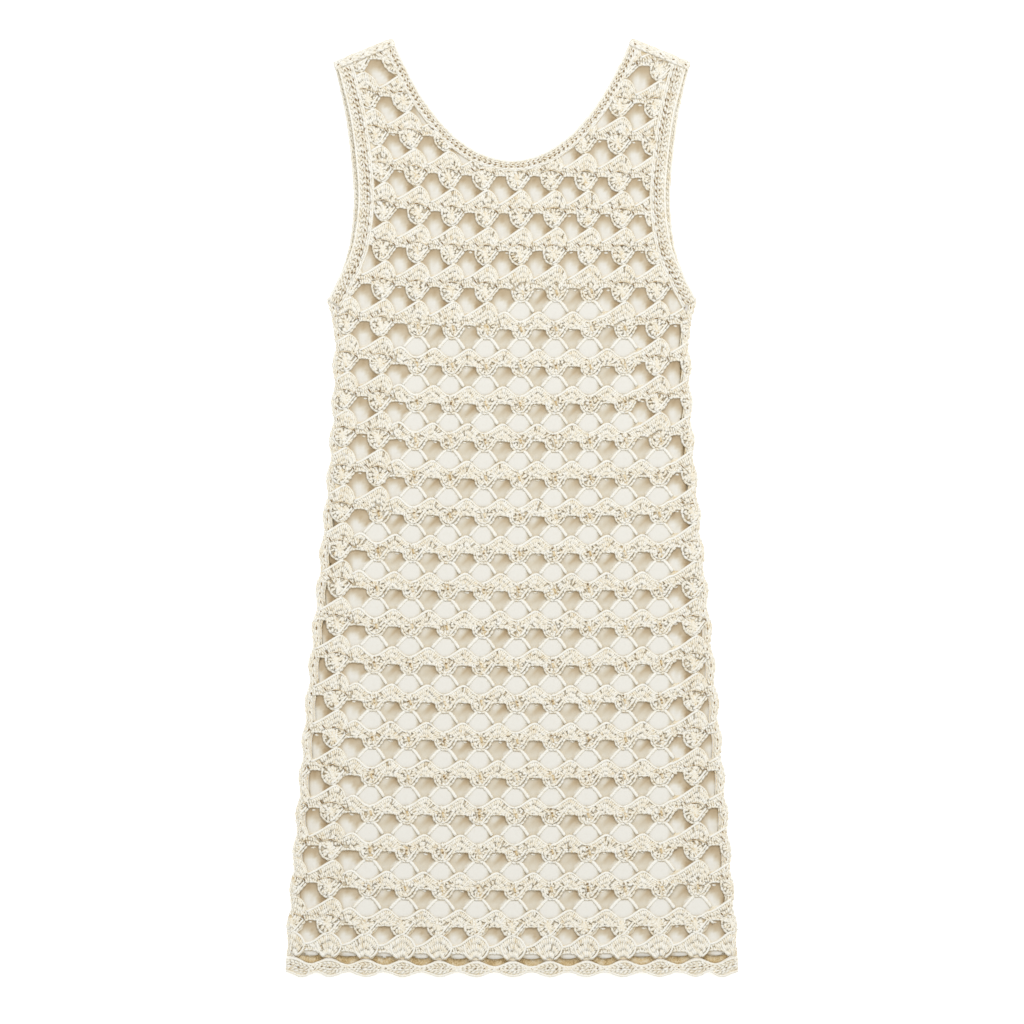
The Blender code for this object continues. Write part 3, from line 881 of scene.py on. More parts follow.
    def ring(self, ring: Ring, centre: Array, column: int) -> Iterator[Strand]:
        """One round of a shell's posts, on its dome."""
        turn = self.random.uniform(0.0, 2.0)
        flanked = ring is OPEN_RINGS[-1]
        dome = self.shell_height * (1 - ((ring.near + ring.far) / 2 / self.shell_radius) ** 2)
        for i in range(ring.count):
            place = i + self.random.uniform(-0.2, 0.2)
            angle = (2 * math.pi * place / ring.count + turn) % (2 * math.pi)
            if flanked and angle > self.flank_start or self.random.uniform() < ring.missing:
                continue
            lean = self.random.uniform(-0.2, 0.45)
            inner = np.array([math.cos(angle), math.sin(angle)]) * self.random.uniform(0.6, 1.3)
            outer = np.array([math.cos(angle + lean), math.sin(angle + lean)])
            foot, head = centre + inner * ring.near, centre + outer * ring.far
            yield self.post(foot, head, column, 0.6 + dome, 0.95 + dome)

    def open_centre(self, middle: Array, centre: Array, column: int) -> Iterator[Strand]:
        """The slanted posts at an open shell's flank, and its loose centre, coloured dark with painted shade:
        a dark mound and dark dots for the hollow in it.
        """
        for i in range(self.flank_posts):
            foot = middle + (1.1, -7.3) + np.array([1.25, 1.75]) * i
            head = foot + np.array([3.9, 3.4]) * self.random.uniform(0.85, 1.15)
            yield self.post(foot, head, column, 0.9, 1.3, -0.15)
        yield self.cushion(centre, column, CENTRE_SHADE_CUSHION)
        turn = self.random.uniform(0.0, math.pi)
        reach = np.array([math.cos(turn), math.sin(turn)]) * self.random.uniform(1.0, 1.9)
        yield self.post(centre - reach, centre + reach, column, 1.9, 2.1, 0.1)._replace(radius=0.75)
        yield from self.shade_dots(OPEN_SHADE_DOTS, column, middle, 0.7, 0.85, 3.0)

    def rim(self, middle: Array, opened: bool, column: int) -> Iterator[Strand]:
        """The rounded edge of a shell, with the round inside it."""
        rim = np.array(SHELL_RIM[opened]) + self.random.normal(0.0, self.drawing_play, 2)
        if not self.fine:
            yield self.cord(rim, column, RIM_CORD)
            return
        yield from self.dashes(rim, column, 1.35, 1.2, 4.4)
        if opened:
            yield from self.dashes(rim[:6] - (rim[:6] - middle) * 0.22, column, 1.2, 1.6)
            return
        yield self.cord(rim[5:] + (-1.7, 1.5), column, INNER_CORD)
        if self.roof(column) is Roof.FAN:
            # painted shade: dark dots and a thin darker cord where the shell meets the fan over it
            yield from self.shade_dots(SEAM_SHADE_DOTS, column, (0.0, 0.0), 0.3, 0.7, 2.3)
            yield self.cord(SHELL_SEAM, column, SEAM_CORD)

    def shell(self, column: int) -> Iterator[Strand]:
        """A shell: rounds of stitches on a dome, inside a rounded cord."""
        opened = self.lattice.is_open(column, self.row)
        middle = np.array(self.open_middle if opened else self.filled_middle)
        centre = middle + self.random.uniform(-self.centre_play, self.centre_play, 2)
        if self.fine:
            yield self.cushion(middle, column, OPEN_CUSHION if opened else FILLED_CUSHION)
            yield self.cushion(middle, column, WIDE_CUSHION)
        for ring in (OPEN_RINGS if opened else FILLED_RINGS) if self.fine else PLAIN_RINGS:
            yield from self.ring(ring, centre, column)
        if opened and self.fine:
            yield from self.open_centre(middle, centre, column)
        yield from self.rim(middle, opened, column)

    def chains(self, column: int) -> Iterator[Strand]:
        """The two chains from a shell down to the row below."""
        if self.lattice.is_open(column, self.row):
            for drawing in (LEFT_CHAIN, RIGHT_CHAIN):
                # painted light: the chains are coloured paler than the posts
                yield self.cord(drawing, column, Cord(self.random.uniform(1.6, 1.9), -0.45, 0.45))
            if self.fine:
                # painted shade: a small dark strand where the right chain meets the row below
                foot = np.array(CHAIN_FOOT_SHADE) + self.random.normal(0.0, self.drawing_play, 2)
                points = np.array([(-0.7, -0.5, 0.0), (0.0, 0.1, 0.0), (0.6, 0.7, 0.0)]) + (*foot, -0.7)
                yield Strand(self.shifted(points, column), 0.8, 2.0, runs=3, sides=4, taper=0.6)

    def strands(self) -> Iterator[Strand]:
        """All the row's strands."""
        for column in self.lattice.columns[:-1]:
            yield from self.cords(column)
            yield from self.tops(column)
            if self.row >= 0:
                yield from self.shell(column)
                yield from self.chains(column)


# ---- meshes
def tube_faces(rings: int, sides: int) -> tuple[Array, Array]:
    """The side faces of a tube whose points come ring by ring, and the two that close its ends."""
    index = np.arange(rings * sides).reshape(rings, sides)
    after = np.roll(index, -1, axis=1)
    faces = np.stack([index[:-1], index[1:], after[1:], after[:-1]], axis=-1).reshape(-1, 4)
    return faces, np.stack([index[0], index[-1][::-1]])


class ArrayMesh:
    """A mesh gathered from arrays of points and faces."""

    painted_side_shade = 0.84  # painted shade: how much darker and browner a strand is coloured at its sides and underside than on top
    least_side = 0.05  # below this a strand runs straight up, and its sides are set level

    def __init__(self) -> None:
        """Starts with nothing."""
        self.points: list[Array] = []
        self.tones: list[Array] = []
        self.corners: list[Array] = []
        self.sizes: list[Array] = []
        self.maps: list[Array] = []
        self.soft: list[Array] = []
        self.count = 0

    def add(self, points: Array, faces: Array, tones: Array, maps: Optional[Array] = None,
            soft: bool = True) -> None:
        """Adds points, and faces that all have as many corners.

        Args:
            points: The points, one a row.
            faces: The faces, as rows of indices into these points.
            tones: The shade of each point.
            maps: Each corner's place on the yarn, along and round.
            soft: Whether the faces are shaded smooth.
        """
        self.points.append(points)
        self.tones.append(np.broadcast_to(tones, len(points)))
        self.join(faces + self.count, maps, soft)
        self.count += len(points)

    def join(self, faces: Array, maps: Optional[Array] = None, soft: bool = True) -> None:
        """Adds faces between points that are already there."""
        self.corners.append(faces.ravel())
        self.sizes.append(np.full(len(faces), faces.shape[1]))
        self.maps.append(np.zeros((faces.size, 2)) if maps is None else maps.reshape(-1, 2))
        self.soft.append(np.full(len(faces), soft))

    def strand(self, line: Array, radius: Amount, sides: int, tone: Amount,
               width: float = 1.0, flat: float = 1.0) -> None:
        """Adds a closed strand of yarn along a line.

        Args:
            line: The points of its centreline.
            radius: Its radius, or one for each point.
            sides: How many sides it has.
            tone: Its shade, or one for each point.
            width: How wide it is, of its radius.
            flat: How high it is, of its radius.
        """
        ahead = np.gradient(line, axis=0)
        ahead /= np.maximum(np.linalg.norm(ahead, axis=1, keepdims=True), 1e-12)
        side = np.cross(ahead, (0.0, 0.0, 1.0))
        size = np.linalg.norm(side, axis=1, keepdims=True)
        side = np.where(size > self.least_side, side / np.maximum(size, 1e-9), (1.0, 0.0, 0.0))
        up = np.cross(side, ahead)
        angle = 2 * math.pi * np.arange(sides) / sides + math.pi / 2
        reach = np.broadcast_to(radius, len(line))[:, None, None]
        round_side = np.cos(angle)[:, None] * side[:, None] * width
        round_up = np.sin(angle)[:, None] * up[:, None] * flat
        points = (line[:, None] + (round_side + round_up) * reach).reshape(-1, 3)
        faces, caps = tube_faces(len(line), sides)
        lengths = lengths_along(line)
        low, high = np.meshgrid(lengths[:-1], np.arange(sides) / sides, indexing="ij")
        far, _ = np.meshgrid(lengths[1:], np.arange(sides), indexing="ij")
        turn = 1 / sides
        maps = np.stack([np.stack(pair, axis=-1) for pair in (
            (low, high), (far, high), (far, high + turn), (low, high + turn))], axis=2)
        base = self.count
        # painted shade: each ring's sides and underside get a deeper tone than its top
        shades = np.broadcast_to(tone, len(line))[:, None] + self.painted_side_shade * (1 - np.sin(angle))
        self.add(points, faces, shades.ravel(), maps)
        self.join(caps + base)

    def shell(self, flat: Array, faces: Array, low: Amount, high: Amount,
              tones: Amount) -> None:
        """Adds a closed layer of cloth: a flat mesh's faces, raised to two levels and walled.

        Args:
            flat: The points in the plane.
            faces: The faces between them, counter-clockwise.
            low: The height of the under side.
            high: The height of the upper side.
            tones: The shade of each point.
        """
        count = len(flat)
        levels = [np.column_stack([flat, np.broadcast_to(level, count)]) for level in (high, low)]
        base = self.count
        shades = np.concatenate([np.broadcast_to(tones, count)] * 2)
        self.add(np.vstack(levels), faces, shades)
        self.join(faces[:, ::-1] + base + count)
        starts, ends = faces.ravel(), np.roll(faces, -1, axis=1).ravel()
        forward, backward = starts * count + ends, ends * count + starts
        rim = ~np.isin(forward, backward)
        a, b = starts[rim] + base, ends[rim] + base
        self.join(np.stack([a, a + count, b + count, b], axis=-1), soft=False)

    def build(self, name: str, finish: bpy.types.Material) -> Piece:
        """Makes the object."""
        mesh = bpy.data.meshes.new(name)
        points = np.vstack(self.points).astype(np.float32)
        corners = np.concatenate(self.corners).astype(np.int32)
        sizes = np.concatenate(self.sizes)
        mesh.vertices.add(len(points))
        mesh.vertices.foreach_set("co", points.ravel())
        mesh.loops.add(len(corners))
        mesh.loops.foreach_set("vertex_index", corners)
        mesh.polygons.add(len(sizes))
        starts = np.concatenate([[0], np.cumsum(sizes)[:-1]]).astype(np.int32)
        mesh.polygons.foreach_set("loop_start", starts)
        mesh.polygons.foreach_set("use_smooth", np.concatenate(self.soft))
        mesh.update(calc_edges=True)
        # the tone carries each point's random colour and its painted shade or light
        tone = mesh.attributes.new("tone", "FLOAT", "POINT")
        tone.data.foreach_set("value", np.concatenate(self.tones).astype(np.float32))
        layer = mesh.uv_layers.new(name="yarn")
        layer.data.foreach_set("uv", np.vstack(self.maps).astype(np.float32).ravel())
        mesh.materials.append(finish)
        made = bpy.data.objects.new(name, mesh)
        bpy.context.scene.collection.objects.link(made)
        triangles = int((sizes - 2).sum())
        log.info("%s: %d triangles", name, triangles)
        return made


def dress(piece: Piece, slot: str, *nodes: str) -> Piece:
    """Hangs a piece on the frame, in place of the named nodes."""
    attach(piece, BODY)
    if nodes:
        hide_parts(*nodes)
    return piece


# ---- finishes
class Wire:
    """A socket of a material's node, with the arithmetic that adds Math nodes."""

    def __init__(self, sheet: "NodeSheet", socket: bpy.types.NodeSocket) -> None:
        """Wraps an output socket."""
        self.sheet = sheet
        self.socket = socket

    def maths(self, operation: str, *values: "Value", clamp: bool = False) -> "Wire":
        """This value and others through one Math node."""
        sockets = dict(enumerate(values))
        return self.sheet.node("ShaderNodeMath", {"operation": operation, "use_clamp": clamp}, sockets).out()

    def __add__(self, other: "Value") -> "Wire":
        """The sum."""
        return self.maths("ADD", self, other)

    __radd__ = __add__

    def __sub__(self, other: "Value") -> "Wire":
        """The difference."""
        return self.maths("SUBTRACT", self, other)

    def __rsub__(self, other: "Value") -> "Wire":
        """The difference, the other way round."""
        return self.maths("SUBTRACT", other, self)

    def __mul__(self, other: "Value") -> "Wire":
        """The product."""
        return self.maths("MULTIPLY", self, other)

    __rmul__ = __mul__

    def sine(self) -> "Wire":
        """The sine."""
        return self.maths("SINE", self)

    def clamped(self) -> "Wire":
        """The value held between 0 and 1."""
        return self.maths("ADD", self, 0.0, clamp=True)


Value = Union[Wire, float]


class NodeMade(NamedTuple):
    """A node, and the sheet it stands on."""

    sheet: "NodeSheet"
    node: bpy.types.Node

    def out(self, name: Union[str, int] = 0) -> Wire:
        """One of its outputs."""
        return Wire(self.sheet, self.node.outputs[name])


class NodeSheet:
    """The nodes of one material."""

    def __init__(self, name: str) -> None:
        """Starts an empty material."""
        self.material = bpy.data.materials.new(name)
        self.material.use_nodes = True
        self.tree = self.material.node_tree
        self.tree.nodes.clear()

    def node(self, kind: str, settings: Optional[dict] = None, sockets: Optional[dict] = None) -> NodeMade:
        """Adds a node.

        Args:
            kind: The node's type.
            settings: Its settings, set first. "stops" gives a ramp's places and colours.
            sockets: What goes into its inputs: wires, numbers or colours.

        Returns:
            The node.
        """
        made = self.tree.nodes.new(kind)
        for name, value in (settings or {}).items():
            if name == "stops":
                self.set_stops(made.color_ramp, value)
            else:
                setattr(made, name, value)
        for name, value in (sockets or {}).items():
            if isinstance(value, Wire):
                self.tree.links.new(value.socket, made.inputs[name])
            else:
                made.inputs[name].default_value = value
        return NodeMade(self, made)

    @staticmethod
    def set_stops(ramp: bpy.types.ColorRamp, stops: Sequence[tuple[float, tuple]]) -> None:
        """Gives a ramp its stops."""
        while len(ramp.elements) < len(stops):
            ramp.elements.new(0.5)
        for element, (place, colour) in zip(ramp.elements, stops):
            element.position = place
            element.color = (*colour, 1.0)

    def noise(self, scale: float, detail: float = 2.0) -> Wire:
        """Noise over the object, of a number of waves to the metre."""
        place = self.node("ShaderNodeTexCoord").out("Object")
        sockets = {"Vector": place, "Scale": scale, "Detail": detail}
        return self.node("ShaderNodeTexNoise", {}, sockets).out("Fac")

    def bumps(self, height: Wire, depth: float, strength: float) -> Wire:
        """A normal that follows a height."""
        sockets = {"Strength": strength, "Distance": depth, "Height": height}
        return self.node("ShaderNodeBump", {}, sockets).out()

    def surface(self, sockets: dict) -> bpy.types.Material:
        """Ends the material in a Principled shader."""
        shader = self.node("ShaderNodeBsdfPrincipled", {}, sockets).out()
        self.node("ShaderNodeOutputMaterial", {}, {"Surface": shader})
        return self.material


@dataclass(frozen=True)
class YarnFinish:
    """Soft cotton yarn: several plies twisted together. Its tone runs from the yarn's own cream through
    painted shade to dark brown: paler on top of strands, darker and browner on their sides, in the ground
    between them and in dark marks for shaded openings.
    """

    name: str = "cream_cotton_yarn"
    light: Triple = (0.950, 0.930, 0.855)
    middle: Triple = (0.890, 0.822, 0.662)
    # deep and dark are painted shade: the colours of the ground, of the strands' sides and of the dark marks
    # between stitches
    deep: Triple = (0.690, 0.525, 0.275)
    dark: Triple = (0.330, 0.205, 0.080)
    middle_place: float = 0.45  # where the colours lie between light at 0 and dark at 1
    deep_place: float = 0.75
    tone_share: float = 0.5  # how much each thing adds to the shade
    tone_base: float = 0.14
    fleck_share: float = 0.75
    cloud_share: float = 0.6
    twist_pitch: float = 0.0026
    plies: int = 3
    twist_depth: float = 0.00022
    twist_strength: float = 0.6
    fleck_scale: float = 900.0
    cloud_scale: float = 130.0
    roughness: float = 0.88
    sheen: float = 0.15
    sheen_roughness: float = 0.6

    def material(self) -> bpy.types.Material:
        """Makes the material."""
        sheet = NodeSheet(self.name)
        tone = sheet.node("ShaderNodeAttribute", {"attribute_name": "tone"}).out("Fac")
        fleck, cloud = sheet.noise(self.fleck_scale), sheet.noise(self.cloud_scale, 1.0)
        flecks, clouds = (fleck - 0.5) * self.fleck_share, (cloud - 0.5) * self.cloud_share
        shade = (tone * self.tone_share + self.tone_base + flecks + clouds).clamped()
        stops = ((0.0, self.light), (self.middle_place, self.middle),
                 (self.deep_place, self.deep), (1.0, self.dark))
        colour = sheet.node("ShaderNodeValToRGB", {"stops": stops}, {"Fac": shade}).out("Color")
        place = sheet.node("ShaderNodeUVMap", {"uv_map": "yarn"}).out()
        axes = sheet.node("ShaderNodeSeparateXYZ", {}, {"Vector": place})
        turns = axes.out("X") * (1 / self.twist_pitch) + axes.out("Y") * float(self.plies)
        twist = (turns * (2 * math.pi)).sine() * 0.5 + fleck
        return sheet.surface({
            "Base Color": colour,
            "Roughness": self.roughness,
            "Sheen Weight": self.sheen,
            "Sheen Roughness": self.sheen_roughness,
            "Normal": sheet.bumps(twist, self.twist_depth, self.twist_strength),
        })


@dataclass(frozen=True)
class LiningFinish:
    """Plain smooth off-white lining, with painted shade: near white where it is pressed up, darker and
    browner in the hollows under the crochet.
    """

    name: str = "off_white_lining"
    # the cloth's own off-white at 0; the rest is painted shade, down to brown at 1
    stops: tuple = (
        (0.00, (0.815, 0.795, 0.730)),
        (0.30, (0.690, 0.630, 0.505)),
        (0.65, (0.545, 0.440, 0.290)),
        (1.00, (0.420, 0.310, 0.175)),
    )
    cloud_scale: float = 260.0
    cloud_share: float = 0.12
    thread_pitch: float = 0.0004
    thread_depth: float = 0.00005
    thread_strength: float = 0.25
    roughness: float = 0.75

    def material(self) -> bpy.types.Material:
        """Makes the material."""
        sheet = NodeSheet(self.name)
        tone = sheet.node("ShaderNodeAttribute", {"attribute_name": "tone"}).out("Fac")
        cloud = sheet.noise(self.cloud_scale, 1.0)
        shade = (tone + (cloud - 0.5) * self.cloud_share).clamped()
        colour = sheet.node("ShaderNodeValToRGB", {"stops": self.stops}, {"Fac": shade}).out("Color")
        place = sheet.node("ShaderNodeTexCoord").out("Object")
        axes = sheet.node("ShaderNodeSeparateXYZ", {}, {"Vector": place})
        warp = (axes.out("X") * (2 * math.pi / self.thread_pitch)).sine()
        weft = (axes.out("Y") * (2 * math.pi / self.thread_pitch)).sine()
        return sheet.surface({
            "Base Color": colour,
            "Roughness": self.roughness,
            "Normal": sheet.bumps(warp * weft, self.thread_depth, self.thread_strength),
        })


@dataclass(frozen=True)
class FloorFinish:
    """A plain white studio floor."""

    name: str = "studio_floor"
    colour: tuple[float, float, float, float] = (0.93, 0.93, 0.93, 1.0)
    roughness: float = 0.9
    glow: float = 0.45

    def material(self) -> bpy.types.Material:
        """Makes the material."""
        return NodeSheet(self.name).surface({
            "Base Color": self.colour,
            "Roughness": self.roughness,
            "Emission Color": self.colour,
            "Emission Strength": self.glow,
        })


# ---- crochet
def flat_faces(outline: Array, rim: Array, gaps: Sequence[Array]) -> tuple[Array, Array]:
    """Fills the space inside an outline and outside the gaps with triangles.

    Args:
        outline: The outer edge.
        rim: The line inside it that no gap is to cross.
        gaps: The edges of the gaps, counter-clockwise.

    Returns:
        The points, and the triangles between them, counter-clockwise.
    """
    loops, points = [], []
    for loop in [outline, rim, *gaps]:
        loops.append(list(range(len(points), len(points) + len(loop))))
        points.extend(Vector(point) for point in loop)
    keep_all, tolerance = 0, 1e-7
    verts, _, faces, *_ = delaunay_2d_cdt(points, [], loops, keep_all, tolerance, False)
    flat, faces = np.array([tuple(vert) for vert in verts]), np.array(faces)
    centres = flat[faces].mean(axis=1)
    within, in_rim = inside(centres, outline), inside(centres, rim)
    for gap in gaps:
        away = np.abs(centres - gap.mean(axis=0)).max(axis=1)
        near = np.flatnonzero(in_rim & (away < np.ptp(gap, axis=0).max()))
        within[near[inside(centres[near], gap)]] = False
    kept = faces[within]
    a, b, c = (flat[kept[:, i]] for i in range(3))
    area = (b - a)[:, 0] * (c - a)[:, 1] - (b - a)[:, 1] * (c - a)[:, 0]
    kept = np.where(area[:, None] < 0, kept[:, ::-1], kept)
    used, kept = np.unique(kept, return_inverse=True)
    return flat[used], kept.reshape(-1, 3)


@dataclass
class LacePanel:
    """A crocheted panel: a ground with its gaps, and the yarn over it."""

    side: str
    pattern: Pattern
    lattice: Lattice
    yarn: bpy.types.Material
    peek: float
    hem: Array
    ground_low: float
    ground_high: float
    outwards: float  # +1 where the yarn stands up off the ground, -1 where it faces the surface below
    relief: float  # how much of the drawings' height it has
    over_seams: float  # how far inside the dress's sides the yarn ends
    regions: dict[str, range] = field(default_factory=dict)
    web: float = 0.0007  # ground left on each side of a cord's middle
    edge_web: float = 0.0012
    least_inside: float = 0.2
    run_step: float = 0.0008
    shortest_run: float = 0.0020
    least_height: float = 0.7  # how high the back's yarn lies at least, of its radius
    taper_places: tuple[float, float, float, float] = (0.0, 0.3, 0.7, 1.0)
    # painted shade: the ground, seen between strands, is coloured darker and browner as if in shadow
    painted_ground_shade: float = 0.75
    rounding: float = 0.0060
    uneven_width: float = 0.05
    uneven_tone: float = 0.14

    def turned(self, points: Array) -> Array:
        """Points as they lie on this side of the dress: the back's rows run the other way."""
        return points * (self.outwards, 1.0)

    def gap_drawings(self) -> Iterator[Array]:
        """The edges of all gaps of the repeat, across and up the dress."""
        lattice = self.lattice
        for row in lattice.rows[1:]:
            for column in lattice.columns[:-1]:
                opened = [lattice.is_open(column + i, row) for i in (0, 1)]
                roofs = [Roof.OPEN if lattice.is_open(column + i, row + 1) else Roof.FAN for i in (0, 1)]
                floors = [Roof.HEM if row == 0 else Roof.OPEN if flag else Roof.FAN for flag in opened]
                if opened[0]:
                    yield lattice.drawn(np.array(ROUND_GAP), column, row)
                sides = [*GAP_TOP[roofs[1]], *GAP_LEFT[floors[0]], *GAP_RIGHT[floors[1]]]
                yield lattice.drawn(np.array(sides), column, row)

    def drawn_in(self, loop: Array, distance: float) -> Array:
        """A closed counter-clockwise loop drawn in by a distance."""
        return loop + left_of(np.vstack([loop[-1:], loop, loop[:1]]))[1:-1] * distance

    def ground(self) -> Piece:
        """The thin ground of the crochet, with its gaps cut."""
        outline = self.pattern.panel_outline(self.peek, self.hem)
        way = int(self.outwards)
        gaps = [self.drawn_in(self.turned(gap)[::way], self.web) for gap in self.gap_drawings()]
        gaps = [on_surface(gap) for gap in gaps if inside(gap, outline).mean() > self.least_inside]
        rim = self.drawn_in(outline, self.edge_web)
        flat, faces = flat_faces(on_surface(outline), on_surface(rim), gaps)
        mesh = ArrayMesh()
        mesh.shell(flat, faces, self.ground_low, self.ground_high, self.painted_ground_shade)
        return mesh.build(f"{self.side}_crochet_ground", self.yarn)

    def drop(self, flat: Array) -> Array:
        """How far the cloth turns down towards the dress's sides at some places."""
        edge = self.pattern.side_edge()
        away = np.interp(flat[:, 1], edge[:, 1], edge[:, 0], right=1.0) - np.abs(flat[:, 0])
        short = np.clip(self.rounding - away, 0, self.rounding)
        return self.rounding - np.sqrt(self.rounding ** 2 - short ** 2)

    def lay(self, mesh: ArrayMesh, row: int, random: np.random.Generator, outline: Array) -> None:
        """Lays a row's strands on the ground, where they are inside an outline."""
        lattice = self.lattice
        strands = list(ShellRow(lattice, row, random, fine=self.outwards > 0).strands())
        across, up, out = np.vstack([strand.points for strand in strands]).T
        flat = self.turned(lattice.place(across / lattice.cell_width, row + up / lattice.cell_height))
        stops = np.cumsum([len(strand.points) for strand in strands])[:-1]
        dense = []
        for line in np.split(np.column_stack([flat, out]), stops):
            total = lengths_along(line[:, :2])[-1]
            dense.append(along_line(line, np.linspace(0.0, total, max(4, round(total / self.run_step)))))
        within = inside(np.vstack(dense)[:, :2], outline)
        within = np.split(within, np.cumsum([len(line) for line in dense])[:-1])
        for strand, line, kept in zip(strands, dense, within):
            changes = np.flatnonzero(np.diff(np.concatenate([[0], kept.astype(int), [0]])))
            for start, stop in changes.reshape(-1, 2):
                self.add_run(mesh, strand, line[start:stop], random)

    def add_run(self, mesh: ArrayMesh, strand: Strand, run: Array, random: np.random.Generator) -> None:
        """Adds one unbroken run of a strand."""
        length = lengths_along(run[:, :2])[-1]
        if length < self.shortest_run:
            return
        step = (FINE_STEP if self.outwards > 0 else PLAIN_STEP) * MM
        count = strand.runs or max(3, round(length / step) + 1)
        run = along_line(run, np.linspace(0.0, length, count))
        height = run[:, 2] * MM * self.relief
        if self.outwards > 0:
            height = self.ground_high + height - self.drop(run[:, :2])
        else:
            height = np.maximum(self.ground_low - height, strand.radius * MM * self.least_height)
        widths = (strand.taper, 1.0, 1.0, strand.taper)
        ends = np.interp(np.linspace(0, 1, count), self.taper_places, widths)
        ends = ends * random.normal(1.0, self.uneven_width, count)
        placed = np.column_stack([on_surface(run[:, :2]), height])
        tones = strand.tone + random.normal(0.0, self.uneven_tone, count)
        mesh.strand(placed, strand.radius * MM * ends, strand.sides, tones, flat=strand.flat)

    def yarn_pieces(self) -> list[Piece]:
        """The yarn over the ground, a piece for each stretch of rows."""
        outline = self.pattern.panel_outline(self.peek, self.hem, self.over_seams)
        random = np.random.default_rng(SEED)
        pieces = []
        for name, rows in self.regions.items():
            mesh = ArrayMesh()
            for row in rows:
                self.lay(mesh, row, random, outline)
            for points in mesh.points:
                np.maximum(points[:, 2], 0.0, out=points[:, 2])
            pieces.append(mesh.build(f"{self.side}_crochet_{name}", self.yarn))
        return pieces


def along_line(line: Array, places: Array) -> Array:
    """The points of a line at some distances from its start, measured in the plane."""
    lengths = lengths_along(line[:, :2])
    return np.stack([np.interp(places, lengths, axis) for axis in line.T], axis=-1)


# ---- borders
class Kind(Enum):
    """How a round of a border is worked."""

    CORD = "cord"
    STITCHES = "stitches"


class Round(NamedTuple):
    """One round of a border: how far across it lies, and its yarn."""

    share: float
    kind: Kind
    radius: float
    lift: float
    slant: float = 0.8
    cover: float = 1.1  # how much of its pitch each stitch covers
    pitch: float = 0.0040
    tone: float = -0.1


